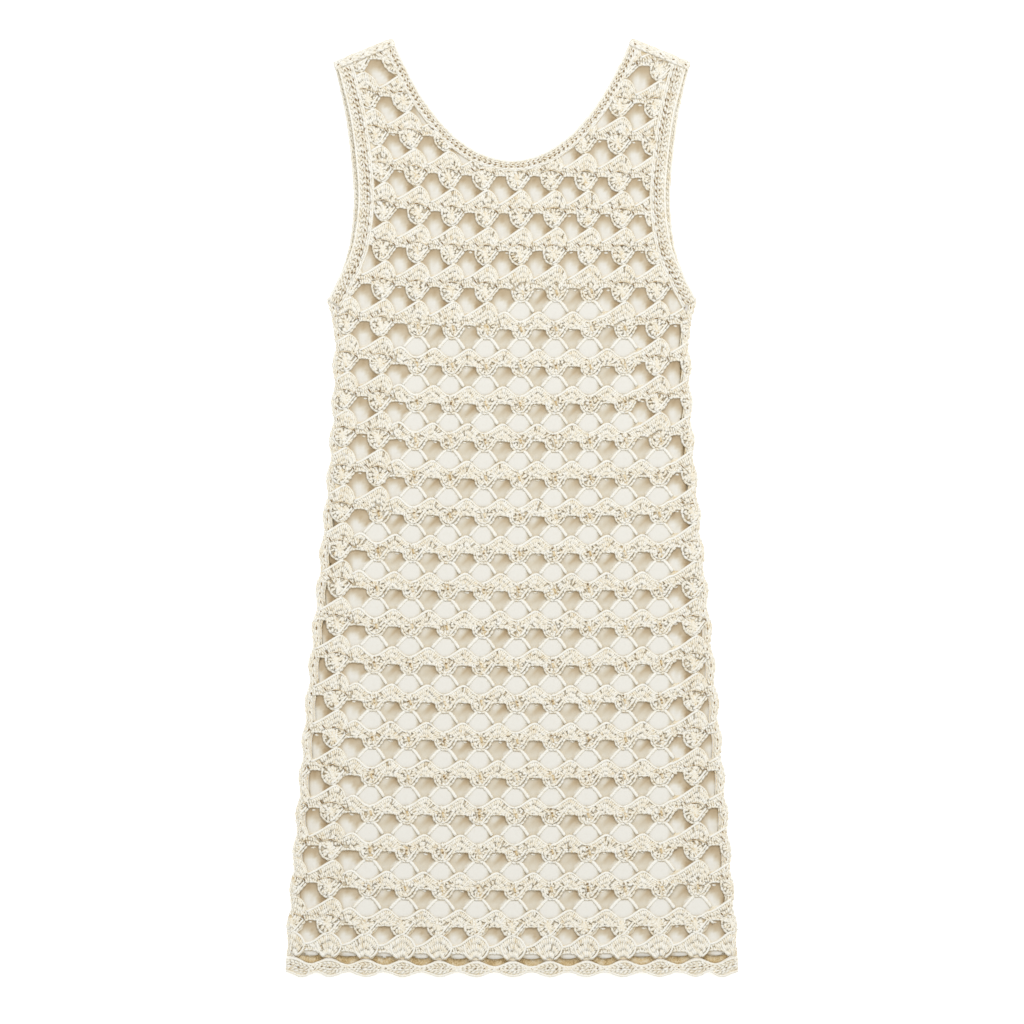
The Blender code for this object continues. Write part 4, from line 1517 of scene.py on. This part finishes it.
@dataclass
class Border:
    """A crocheted border between two edges, worked in rounds."""

    name: str
    outer: Array
    inner: Array
    low: float
    high: float
    rounds: Sequence[Round]
    yarn: bpy.types.Material
    sides: int = 5
    rounded: bool = False
    body_drop: float = 0.0011
    body_tone: float = 0.45
    step: float = 0.0035
    bulge: float = 0.42  # how much of the width a rounded body's curve takes up
    cord_step: float = 0.0022
    cord_wobble: float = 0.00010
    cord_swell: float = 0.07
    cord_tone: Pair = (-0.25, 0.15)  # the mean shade of a cord, and how far it strays
    stitch_wobble: float = 0.00015
    stitch_stops: int = 8  # places along the border for each stitch

    def edges(self, count: int) -> tuple[Array, Array]:
        """Both edges in as many points."""
        return resampled(self.outer, count), resampled(self.inner, count)

    def length(self) -> float:
        """The mean length of its two edges."""
        return float(lengths_along(self.outer)[-1] + lengths_along(self.inner)[-1]) / 2

    def profile(self) -> Array:
        """The body's section, as shares across and heights, round from the lower inner corner."""
        top = self.high - self.body_drop
        if not self.rounded:
            middle = (self.low + top) / 2
            return np.array([(0.96, self.low), (0.03, self.low), (0.0, middle), (0.05, top), (0.96, top)])
        middle, tall = (self.low + top) / 2, (top - self.low) / 2
        angles = np.radians(np.linspace(-90, 90, 7))
        across = self.bulge * (1 - np.cos(angles)) + 0.04
        curve = np.column_stack([across, middle + tall * np.sin(angles)])
        return np.vstack([[(0.98, self.low)], curve, [(0.98, top)]])

    def body(self, mesh: ArrayMesh) -> None:
        """The firm body that the rounds lie on."""
        count = max(2, round(self.length() / self.step) + 1)
        outer, inner = self.edges(count)
        section = self.profile()
        share, height = section[:, 0], section[:, 1]
        flat = outer[:, None] + (inner - outer)[:, None] * share[None, :, None]
        points = np.concatenate([flat, np.broadcast_to(height[None, :, None], (*flat.shape[:2], 1))], axis=2)
        faces, caps = tube_faces(count, len(section))
        if self.turns_left():
            faces, caps = faces[:, ::-1], caps[:, ::-1]
        base = mesh.count
        mesh.add(points.reshape(-1, 3), faces, self.body_tone)
        mesh.join(caps + base)

    def turns_left(self) -> bool:
        """Whether the inner edge lies to the right of the outer one."""
        ahead = self.outer[1] - self.outer[0]
        across = self.inner[0] - self.outer[0]
        return bool(ahead[0] * across[1] - ahead[1] * across[0] > 0)

    def line(self, share: float, height: Array, count: int) -> Array:
        """A line along the border at a share of its width."""
        outer, inner = self.edges(count)
        flat = outer + (inner - outer) * share
        return np.column_stack([flat, np.broadcast_to(height, count)])

    def level(self, share: float) -> float:
        """The height of the body's upper side at a share of its width."""
        section = self.profile()
        upper = section[len(section) // 2:]
        return float(np.interp(share, upper[:, 0], upper[:, 1]))

    def cord(self, mesh: ArrayMesh, work: Round, random: np.random.Generator) -> None:
        """A smooth cord along the border."""
        count = max(3, round(self.length() / self.cord_step))
        line = self.line(work.share, self.level(work.share) + work.lift, count)
        line[:, :2] += random.normal(0.0, self.cord_wobble, (count, 2))
        turns = np.arange(count) * (2 * math.pi * self.cord_step / work.pitch)
        radius = work.radius * (1 + self.cord_swell * np.sin(turns))
        tones = random.normal(*self.cord_tone, count)
        mesh.strand(line, radius * random.normal(1.0, 0.06, count), self.sides, tones, flat=0.85)

    def stitches(self, mesh: ArrayMesh, work: Round, random: np.random.Generator) -> None:
        """A round of slanted stitches."""
        count = max(2, round(self.length() / work.pitch))
        half = self.stitch_stops // 2
        fine = count * self.stitch_stops + 1
        base = self.line(work.share, self.level(work.share) + work.lift, fine)
        left = left_of(base[:, :2])
        for i in range(count):
            middle = i * self.stitch_stops + half + random.uniform(-0.7, 0.7)
            reach = half * work.cover * random.uniform(0.92, 1.10)
            stops = np.array([middle - reach, middle - reach * 0.35, middle + reach * 0.35, middle + reach])
            stops = np.clip(np.round(stops).astype(int), 0, fine - 1)
            slant = work.slant * work.radius * np.array([-1.15, -0.4, 0.4, 1.15]) * random.uniform(0.5, 1.4)
            points = base[stops].copy()
            points[:, :2] += left[stops] * (slant + random.normal(0.0, self.stitch_wobble, 4))[:, None]
            points[:, 2] += np.array([-0.5, 0.35, 0.35, -0.5]) * work.radius
            tone = work.tone + random.uniform(-0.3, 0.3)
            radius = work.radius * random.uniform(0.88, 1.06) * np.array([0.7, 1.0, 1.0, 0.7])
            mesh.strand(points, radius, 4, tone, width=1.15, flat=0.85)

    def build(self) -> Piece:
        """Makes the border."""
        mesh = ArrayMesh()
        random = np.random.default_rng(SEED)
        self.body(mesh)
        for work in self.rounds:
            make = self.cord if work.kind is Kind.CORD else self.stitches
            make(mesh, work, random)
        for points in mesh.points:
            np.clip(points[:, 2], self.low, None, out=points[:, 2])
        return mesh.build(self.name, self.yarn)


# Rounds of thin short stitches with a tone near 2 are dark brown: painted shade that stands for the gaps
# between a border's stitches.
ARM_ROUNDS = (
    Round(0.08, Kind.CORD, 0.00120, 0.0001),
    Round(0.22, Kind.STITCHES, 0.00120, 0.0001, 0.6, 1.0, 0.0052),
    Round(0.35, Kind.STITCHES, 0.00120, 0.0002, -0.9, 0.95, 0.0046),
    Round(0.43, Kind.STITCHES, 0.00045, 0.0009, 0.4, 0.22, 0.0062, 1.8),
    Round(0.49, Kind.STITCHES, 0.00120, 0.0002, 0.9, 0.95, 0.0052),
    Round(0.64, Kind.STITCHES, 0.00060, 0.0009, 0.9, 0.30, 0.0062, 2.3),
    Round(0.68, Kind.STITCHES, 0.00120, 0.0001, 0.7, 0.95, 0.0058),
    Round(0.80, Kind.STITCHES, 0.00045, 0.0006, 0.2, 0.26, 0.0098, 2.0),
    Round(0.86, Kind.STITCHES, 0.00120, 0.0001, 0.2, 1.05, 0.0070, -0.4),
    Round(0.99, Kind.CORD, 0.00120, -0.0003),
)
NECK_ROUNDS = (
    Round(0.10, Kind.CORD, 0.00120, 0.0000),
    Round(0.31, Kind.STITCHES, 0.00110, 0.0001, 0.7, 0.95, 0.0050),
    Round(0.38, Kind.STITCHES, 0.00045, 0.0009, 0.8, 0.25, 0.0053, 2.0),
    Round(0.50, Kind.STITCHES, 0.00110, 0.0001, -0.7, 0.95, 0.0046),
    Round(0.66, Kind.STITCHES, 0.00060, 0.0009, 0.6, 0.34, 0.0053, 2.4),
    Round(0.71, Kind.STITCHES, 0.00105, 0.0000, 0.7, 0.95, 0.0050),
    Round(0.86, Kind.STITCHES, 0.00115, 0.0001, 0.2, 1.05, 0.0070, -0.4),
    Round(0.99, Kind.CORD, 0.00110, -0.0003),
)
HEM_ROUNDS = (
    Round(0.06, Kind.CORD, 0.00120, 0.0000),
    Round(0.27, Kind.STITCHES, 0.00115, 0.0001, 0.9, 0.9, 0.0042),
    Round(0.42, Kind.STITCHES, 0.00120, 0.0003, 0.3, 1.0, 0.0060, -0.3),
    Round(0.50, Kind.STITCHES, 0.00050, 0.0009, 0.5, 0.20, 0.0083, 1.8),
    Round(0.58, Kind.STITCHES, 0.00115, 0.0002, 0.9, 0.9, 0.0046),
    Round(0.74, Kind.STITCHES, 0.00115, 0.0001, -0.9, 0.9, 0.0042),
    Round(0.90, Kind.CORD, 0.00130, 0.0003),
)
SEAM_ROUNDS = (
    Round(0.20, Kind.STITCHES, 0.00115, -0.0004, 0.6, 1.0, 0.0060),
    Round(0.45, Kind.STITCHES, 0.00115, -0.0002, -0.7, 1.0, 0.0064),
    Round(0.58, Kind.STITCHES, 0.00050, 0.0007, 0.3, 0.25, 0.0090, 2.0),
    Round(0.74, Kind.STITCHES, 0.00115, -0.0001, 0.7, 1.0, 0.0060),
)
FOLD_ROUNDS = (
    Round(0.07, Kind.CORD, 0.00110, -0.0004),
    Round(0.22, Kind.STITCHES, 0.00135, -0.0003, 0.25, 1.1, 0.0072, -0.3),
    Round(0.42, Kind.STITCHES, 0.00135, -0.0001, -0.3, 1.1, 0.0068, -0.3),
    Round(0.52, Kind.STITCHES, 0.00055, 0.0009, 0.3, 0.14, 0.0140, 2.4),
    Round(0.62, Kind.STITCHES, 0.00135, 0.0000, 0.3, 1.1, 0.0072, -0.3),
    Round(0.82, Kind.STITCHES, 0.00135, 0.0000, -0.3, 1.1, 0.0068, -0.3),
)


@dataclass
class Edging:
    """All the borders, seams and folds of the dress."""

    pattern: Pattern
    lattice: Lattice
    yarn: bpy.types.Material
    seam_wave: float = 0.0019  # how far the side seams swell out beside each row
    seam_wave_start: float = 0.08
    seam_wave_step: float = 0.003
    seam_wave_ends: Pair = (0.60, 0.64)  # the heights between which that swell fades
    seam_wave_starts: Pair = (0.02, 0.05)
    corner: float = 0.0042  # how far the corners of the shoulders are rounded
    corner_pull: float = 0.4  # how near the rounded corner's path comes to the corner
    fold_step: float = 0.002
    seam_drop: float = 0.0024

    def shoulder_cut(self) -> Array:
        """The line at which the borders of neck and armholes meet the shoulder fold."""
        return self.pattern.shoulder_line(self.pattern.shoulder_fold + self.pattern.gap)

    def arm_edges(self, inset: float) -> tuple[Array, Array]:
        """The outer and inner edges of the right armhole's border."""
        outer = self.pattern.armhole_edge(inset)
        inner = moved_sideways(outer, self.pattern.arm_border)
        cut = self.shoulder_cut()
        return ended_at(outer, cut), ended_at(lengthened(inner)[1:], cut)

    def neck_edges(self) -> tuple[Array, Array]:
        """The upper and lower edges of the neck's border, from the left shoulder to the right."""
        cut = self.shoulder_cut()
        halves = [
            ended_at(self.pattern.neck_edge(depth)[::-1], cut) for depth in (0.0, self.pattern.neck_border)
        ]
        outer, inner = (np.vstack([mirrored(half)[:-1], half]) for half in halves)
        return outer, inner

    def seam_edges(self) -> tuple[Array, Array]:
        """The outer and inner edges of the right side seam."""
        arm = self.pattern.armhole_edge(0.0)
        ends = np.array([arm[0], moved_sideways(arm, self.pattern.arm_border)[0]])
        cut = lengthened(moved_sideways(ends, self.pattern.gap))
        bottom = self.pattern.hem_corner
        outer = ended_at(self.pattern.side_line(0.0, bottom), cut)
        outer = resampled(outer, round(lengths_along(outer)[-1] / self.seam_wave_step))
        height = outer[:, 1]
        turns = 2 * math.pi * (self.lattice.find(outer)[1] - self.seam_wave_start)
        fade = smooth_share(height, *self.seam_wave_ends[::-1]) * smooth_share(height, *self.seam_wave_starts)
        outer = outer + np.stack([self.seam_wave * (1 + np.cos(turns)) / 2 * fade, 0 * height], axis=-1)
        return outer, ended_at(self.pattern.side_line(self.pattern.side_seam, bottom), cut)

    def fold_edges(self) -> tuple[Array, Array]:
        """The upper and lower edges of the right shoulder's fold, from the armhole to the neck."""
        arm, neck = self.pattern.armhole_edge(0.0), self.pattern.neck_edge()[::-1]
        low = self.pattern.shoulder_line(self.pattern.shoulder_fold)
        first, last = arm[-1], neck[-1]
        lower = np.array([ended_at(arm, low)[-1], ended_at(neck, low)[-1]])
        along = (last - first) / np.linalg.norm(last - first) * self.corner
        start, end = first + (lower[0] - first) * 0.5, last + (lower[1] - last) * 0.5
        upper = np.array([start, first + along, last - along, end])
        left, right = upper[:2].mean(axis=0), upper[2:].mean(axis=0)
        left, right = left + (first - left) * self.corner_pull, right + (last - right) * self.corner_pull
        upper = np.vstack([upper[:1], left, upper[1:3], right, upper[3:]])
        return smooth_path(upper, self.fold_step), lower

    def layer(self, node: str) -> Pair:
        """The lowest and highest levels of a node of the frame."""
        low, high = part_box(node)
        return low.z, high.z

    def make(self, node: str, edges: tuple[Array, Array], rounds: Sequence[Round],
             **options) -> Piece:
        """Makes one border in place of the node of its name."""
        low, high = self.layer(node)
        outer, inner = (on_surface(edge) for edge in edges)
        border = Border(f"{node}_yarn", outer, inner, low, high, rounds, self.yarn, **options)
        return dress(border.build(), YARN_SLOT, node)

    def both_sides(self, node: str, edges: tuple[Array, Array], rounds: Sequence[Round],
                   **options) -> list[Piece]:
        """Makes a border of the right side and its mirror image."""
        left = tuple(mirrored(edge)[::-1] for edge in edges)
        return [
            self.make(f"{node}_right", edges, rounds, **options),
            self.make(f"{node}_left", left, rounds, **options),
        ]

    def build(self, side: str) -> list[Piece]:
        """Makes the borders of the front or of the back."""
        front = side == "front"
        options = {} if front else {"sides": 4, "body_tone": 0.1}
        peek = self.pattern.back_peek if front else 0.0
        hem = (self.pattern.hem_lower_edge(), self.pattern.hem_upper_edge())
        return [
            self.make(f"neck_border_{side}", self.neck_edges(), NECK_ROUNDS, **options),
            self.make(f"hem_border_{side}", hem, HEM_ROUNDS, **options),
            *self.both_sides(f"arm_border_{side}", self.arm_edges(peek), ARM_ROUNDS, **options),
        ]

    def seams(self) -> list[Piece]:
        """Makes the side seams and the shoulder folds."""
        return [
            *self.both_sides("side_seam", self.seam_edges(), SEAM_ROUNDS, rounded=True,
                             body_drop=self.seam_drop),
            *self.both_sides("shoulder_fold", self.fold_edges(), FOLD_ROUNDS, rounded=True),
        ]


# ---- lining
class Patch(NamedTuple):
    """A soft round patch of painted shade on the lining, in the repeat's millimetres; a negative shade makes
    it paler, painted light.
    """

    shade: float
    across: Amount
    up: Amount
    wide: float
    high: float


OPEN_PATCHES = (
    Patch(0.36, 8.0, -3.5, 3.6, 5.0),
    Patch(0.12, -6.0, -1.5, 3.0, 2.5),
    Patch(-0.18, -1.0, -15.0, 7.0, 4.0),
)
FILLED_PATCHES = (
    Patch(0.60, 10.0, -13.0, 3.5, 4.0),
    Patch(0.20, 0.0, 1.0, 9.0, 3.0),
)


def chances(left: Array, top: Array) -> tuple[Array, Array]:
    """Two chances from 0 to 1 for each gap, always the same ones for the same gap."""
    seeds = np.sin(left * 12.9898 + top * 78.233) * 43758.5453
    return seeds - np.floor(seeds), np.modf(np.abs(seeds) * 7.31)[0]


@dataclass
class Hollows:
    """The painted shade on the lining under the gaps between shells. No two gaps are quite alike."""

    u: Array  # across and up from the middle of the gap's top, in the repeat's millimetres
    v: Array
    chance: Array  # two chances from 0 to 1 for each gap
    other: Array
    open_base: float = 0.38
    light_share: float = 0.26
    streak_share: float = 0.40
    streak_width: float = 1.9
    filled_base: float = 0.02
    rim_share: float = 0.54
    crease_share: float = 0.18
    crease_width: float = 0.9

    def patch(self, patch: Patch) -> Array:
        """How much of a soft patch there is at each place."""
        return np.exp(-((self.u - patch.across) / patch.wide) ** 2 - ((self.v - patch.up) / patch.high) ** 2)

    def with_patches(self, shade: Array, patches: Sequence[Patch]) -> Array:
        """A shade with patches added."""
        for patch in patches:
            shade = shade + patch.shade * self.patch(patch)
        return shade

    def light(self) -> Array:
        """Where the lining is pressed up in an open gap: it bulges there, and painted light makes it paler.
        """
        across, up = -3.4 + 4.0 * (self.other - 0.5), -4.0 + 3.0 * (self.chance - 0.5)
        return self.patch(Patch(1.0, across, up, 4.2, 4.4))

    def open_shade(self) -> Array:
        """The painted shade in a gap that is open on both sides: a slanted dark streak, and a paler patch of
        painted light.
        """
        slope = ((self.v + 7.0 + 3.0 * (self.chance - 0.5)) - (self.u - 1.0)) / math.sqrt(2)
        streak = np.exp(-(slope / self.streak_width) ** 2) * smooth_share(self.u, -5.0, 2.0)
        shade = (self.open_base - self.light_share * self.light() * (0.4 + self.chance)
                 + self.streak_share * streak * (0.2 + self.other))
        return self.with_patches(shade, OPEN_PATCHES)

    def filled_shade(self) -> Array:
        """The painted shade in any other gap: a pale leaning oval with a dark crease, darker round it."""
        lean = self.u + 0.30 * (self.v + 9.0)
        oval = np.hypot((lean + 2.6 - 4.0 * (self.other - 0.5)) / 6.8,
                        (np.maximum(self.v, -16.0) + 16.0 + 3.0 * (self.chance - 0.5))
                        / (7.0 + 4.0 * self.chance))
        off_crease = lean - 1.0 + 5.0 * (self.chance - 0.5)
        crease = np.exp(-(off_crease / self.crease_width) ** 2) * smooth_share(self.v, -22.0, -8.0)
        shade = (self.filled_base + self.rim_share * smooth_share(oval, 0.7, 1.5)
                 + self.crease_share * crease)
        return self.with_patches(shade, FILLED_PATCHES)


@dataclass
class Lining:
    """The two layers of lining between the crocheted panels."""

    pattern: Pattern
    lattice: Lattice
    cloth: bpy.types.Material
    front_cell: float = 0.0031
    back_cell: float = 0.0120
    wall: float = 0.0008
    pressed_up: float = 0.0021  # how far it bulges into a round gap
    round_size: Pair = (10.4, 9.9)  # half the size of that bulge
    round_centre: Pair = (-0.9, -18.2)
    round_power: float = 2.5  # 2 for an oval, more for a squarer form
    round_edge: Pair = (1.12, 0.90)
    band_share: float = 0.14  # how far a gap's top lies above its row's middle, of a row
    open_bulge: float = 0.25  # how far it bulges elsewhere, of the bulge into a round gap
    filled_bulge: float = 0.42
    side_hollow: Pair = (0.019, 0.009)  # beside the seams, below a height, it gets more painted shade
    side_hollow_top: float = 0.65
    side_shade: float = 0.12
    # painted shade: the back layer is coloured darker all over
    back_shade: float = 0.4

    def mesh_of(self, cell: float) -> tuple[Array, Array]:
        """A grid of faces inside the lining's outline, drawn to its edge.

        Returns:
            The points across and up the dress, and the faces between them.
        """
        outline = self.pattern.lining_outline()
        low, high = outline.min(axis=0), outline.max(axis=0)
        counts = np.ceil((high - low) / cell).astype(int)
        x = np.linspace(low[0], high[0], counts[0] + 1)
        y = np.linspace(low[1], high[1], counts[1] + 1)
        grid = np.stack(np.meshgrid(x, y, indexing="ij"), axis=-1)
        centres = (grid[:-1, :-1] + grid[1:, 1:]) / 2
        kept = inside(centres.reshape(-1, 2), outline).reshape(centres.shape[:2])
        index = np.arange(grid.shape[0] * grid.shape[1]).reshape(grid.shape[:2])
        corners = np.stack([index[:-1, :-1], index[1:, :-1], index[1:, 1:], index[:-1, 1:]], axis=-1)
        used, faces = np.unique(corners[kept], return_inverse=True)
        points = grid.reshape(-1, 2)[used]
        out = ~inside(points, outline)
        points[out] = nearest_on(points[out], outline)
        return points, faces.reshape(-1, 4)

    def relief(self, points: Array) -> tuple[Array, Array]:
        """How the front lining lies under the gaps.

        Args:
            points: Places across and up the dress.

        Returns:
            How far it bulges there, and its painted shade, from 0 for the cloth's own pale colour to 1 for
            the deepest hollow.
        """
        column, row = self.lattice.find(points)
        width, height = self.lattice.cell_width, self.lattice.cell_height
        nearest, above = np.round(column).astype(int), np.ceil(row).astype(int)
        across, down = (column - nearest) * width, (row - above) * height
        opened = np.array([self.lattice.is_open(c, r) for c, r in zip(nearest, above)])
        size = (np.abs((across - self.round_centre[0]) / self.round_size[0]) ** self.round_power
                + np.abs((down - self.round_centre[1]) / self.round_size[1]) ** self.round_power)
        pressed = smooth_share(size ** (1 / self.round_power), *self.round_edge) * opened

        left = np.floor(column).astype(int)
        top = np.ceil(row - self.band_share).astype(int)
        hollows = Hollows((column - left - 0.5) * width, (row - top) * height, *chances(left, top))
        filled = ~np.array([self.lattice.is_open(c, r) and self.lattice.is_open(c + 1, r)
                            for c, r in zip(left, top)])
        filled_shade = hollows.filled_shade()
        x, y = points.T
        near_side = smooth_share(self.pattern.half_width(y) - np.abs(x), *self.side_hollow)
        near_side = near_side * (y < self.side_hollow_top)
        # painted shade, taken away where the lining is pressed up into a round gap
        shade = np.where(filled, filled_shade + self.side_shade * near_side, hollows.open_shade())
        bulge = np.where(filled, self.filled_bulge * (1 - np.clip(filled_shade, 0, 1)),
                         self.open_bulge * hollows.light())
        return np.maximum(bulge, pressed), np.clip(shade * (1 - pressed), 0, 1)

    def build(self) -> list[Piece]:
        """Makes the two layers of lining."""
        made = []
        for side, cell in (("front", self.front_cell), ("back", self.back_cell)):
            points, faces = self.mesh_of(cell)
            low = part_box(f"lining_{side}")[0].z
            bulge, shade = self.relief(points) if side == "front" else (0.0, self.back_shade)
            top = low + self.wall + self.pressed_up * np.broadcast_to(bulge, len(points))
            mesh = ArrayMesh()
            mesh.shell(on_surface(points), faces, top - self.wall, top, shade)
            piece = dress(mesh.build(f"lining_{side}_cloth", self.cloth), LINING_SLOT, f"lining_{side}")
            made.append(piece)
        return made


# ---- studio
@dataclass
class Studio:
    """The floor, the soft light and the camera that looks straight down."""

    view_width: float = 0.98304
    view_centre: Pair = (0.0, -0.00385)
    camera_height: float = 2.0
    floor_size: float = 12.0
    key_size: float = 2.4
    key_power: float = 55.0
    key_place: Triple = (0.5, 1.5, 3.2)
    sky: float = 0.72

    def floor(self) -> None:
        """A plain white floor."""
        bpy.ops.mesh.primitive_plane_add(size=self.floor_size, location=(0.0, 0.0, 0.0))
        floor = bpy.context.object
        floor.name = "studio_floor"
        floor.data.materials.append(FloorFinish().material())
        floor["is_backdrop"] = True

    def light(self) -> None:
        """One large soft light from above the right shoulder, and an even sky."""
        light = bpy.data.lights.new("key_light", "AREA")
        light.shape = "SQUARE"
        light.size = self.key_size
        light.energy = self.key_power
        key = bpy.data.objects.new("key_light", light)
        key.location = self.key_place
        key.rotation_euler = (-Vector(self.key_place)).to_track_quat("-Z", "Y").to_euler()
        bpy.context.scene.collection.objects.link(key)
        world = bpy.data.worlds.new("studio_sky")
        world.use_nodes = True
        background = world.node_tree.nodes["Background"]
        background.inputs["Color"].default_value = (1.0, 1.0, 1.0, 1.0)
        background.inputs["Strength"].default_value = self.sky
        bpy.context.scene.world = world

    def camera(self) -> None:
        """The camera."""
        data = bpy.data.cameras.new("camera")
        data.type = "ORTHO"
        data.ortho_scale = self.view_width
        camera = bpy.data.objects.new("camera", data)
        camera.location = (*self.view_centre, self.camera_height)
        bpy.context.scene.collection.objects.link(camera)
        bpy.context.scene.camera = camera

    def build(self) -> None:
        """Sets up the studio."""
        scene = bpy.context.scene
        scene.view_settings.view_transform = "Standard"
        self.floor()
        self.light()
        self.camera()


# ---- the dress
@dataclass
class CrochetDress:
    """The whole dress."""

    pattern: Pattern = field(default_factory=Pattern)
    ground_thickness: float = 0.0011
    back_ground_low: float = 0.0017
    yarn_radius: float = 0.0010
    front_regions: dict[str, range] = field(default_factory=lambda: {
        "hem": range(-1, 5), "skirt": range(5, 11), "waist": range(11, 17), "chest": range(17, 24),
    })
    back_regions: dict[str, range] = field(default_factory=lambda: {
        "skirt": range(-1, 11), "bodice": range(11, 24),
    })

    def area_of(self, piece: Piece) -> float:
        """The flat area of a closed thin layer: what faces up."""
        mesh = piece.data
        normals, areas = np.empty(len(mesh.polygons) * 3), np.empty(len(mesh.polygons))
        mesh.polygons.foreach_get("normal", normals)
        mesh.polygons.foreach_get("area", areas)
        up = normals.reshape(-1, 3)[:, 2]
        return float((areas * up)[up > 0].sum())

    def declare(self, ground: Piece, pieces: list[Piece]) -> None:
        """Works out the flat area of a panel's ground, and keeps nothing of it; the yarn and borders given
        are not used.
        """
        self.area_of(ground)

    def build(self) -> None:
        """Makes all the pieces, from the surface up."""
        yarn, cloth = YarnFinish().material(), LiningFinish().material()
        lattice = Lattice(self.pattern)
        edging = Edging(self.pattern, lattice, yarn)
        front_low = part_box("front_panel")[0].z
        panels = {
            # the back's ground gets deeper painted shade, for the shade inside the dress seen through the
            # gaps
            "back": LacePanel(
                "back", self.pattern, lattice, yarn, peek=0.0, hem=self.pattern.plain_hem(),
                ground_low=self.back_ground_low, ground_high=self.back_ground_low + self.ground_thickness,
                outwards=-1.0, relief=0.4, painted_ground_shade=1.15, over_seams=self.pattern.side_seam,
                regions=self.back_regions),
            "front": LacePanel(
                "front", self.pattern, lattice, yarn, peek=self.pattern.back_peek,
                hem=self.pattern.notched_hem(), ground_low=front_low,
                ground_high=front_low + self.ground_thickness,
                outwards=1.0, relief=1.0, over_seams=self.yarn_radius, regions=self.front_regions),
        }
        linings = Lining(self.pattern, lattice, cloth).build()
        for piece in linings:
            self.area_of(piece)
        for side, panel in panels.items():
            ground = dress(panel.ground(), YARN_SLOT, f"{side}_panel")
            strands = [dress(piece, YARN_SLOT) for piece in panel.yarn_pieces()]
            borders = edging.build(side) + (edging.seams() if side == "front" else [])
            rests_on = ["lining_front_cloth"] if side == "front" else []
            self.declare(ground, strands + borders)


def main() -> None:
    """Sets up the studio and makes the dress."""
    logging.basicConfig(level=logging.INFO, format="%(name)s: %(message)s")
    Studio().build()
    CrochetDress().build()
    boxes = {"cad": CAD_BOX, "visual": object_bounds()}
    {name: [list(corner) for corner in box] for name, box in boxes.items()}


if __name__ == "__main__":
    main()
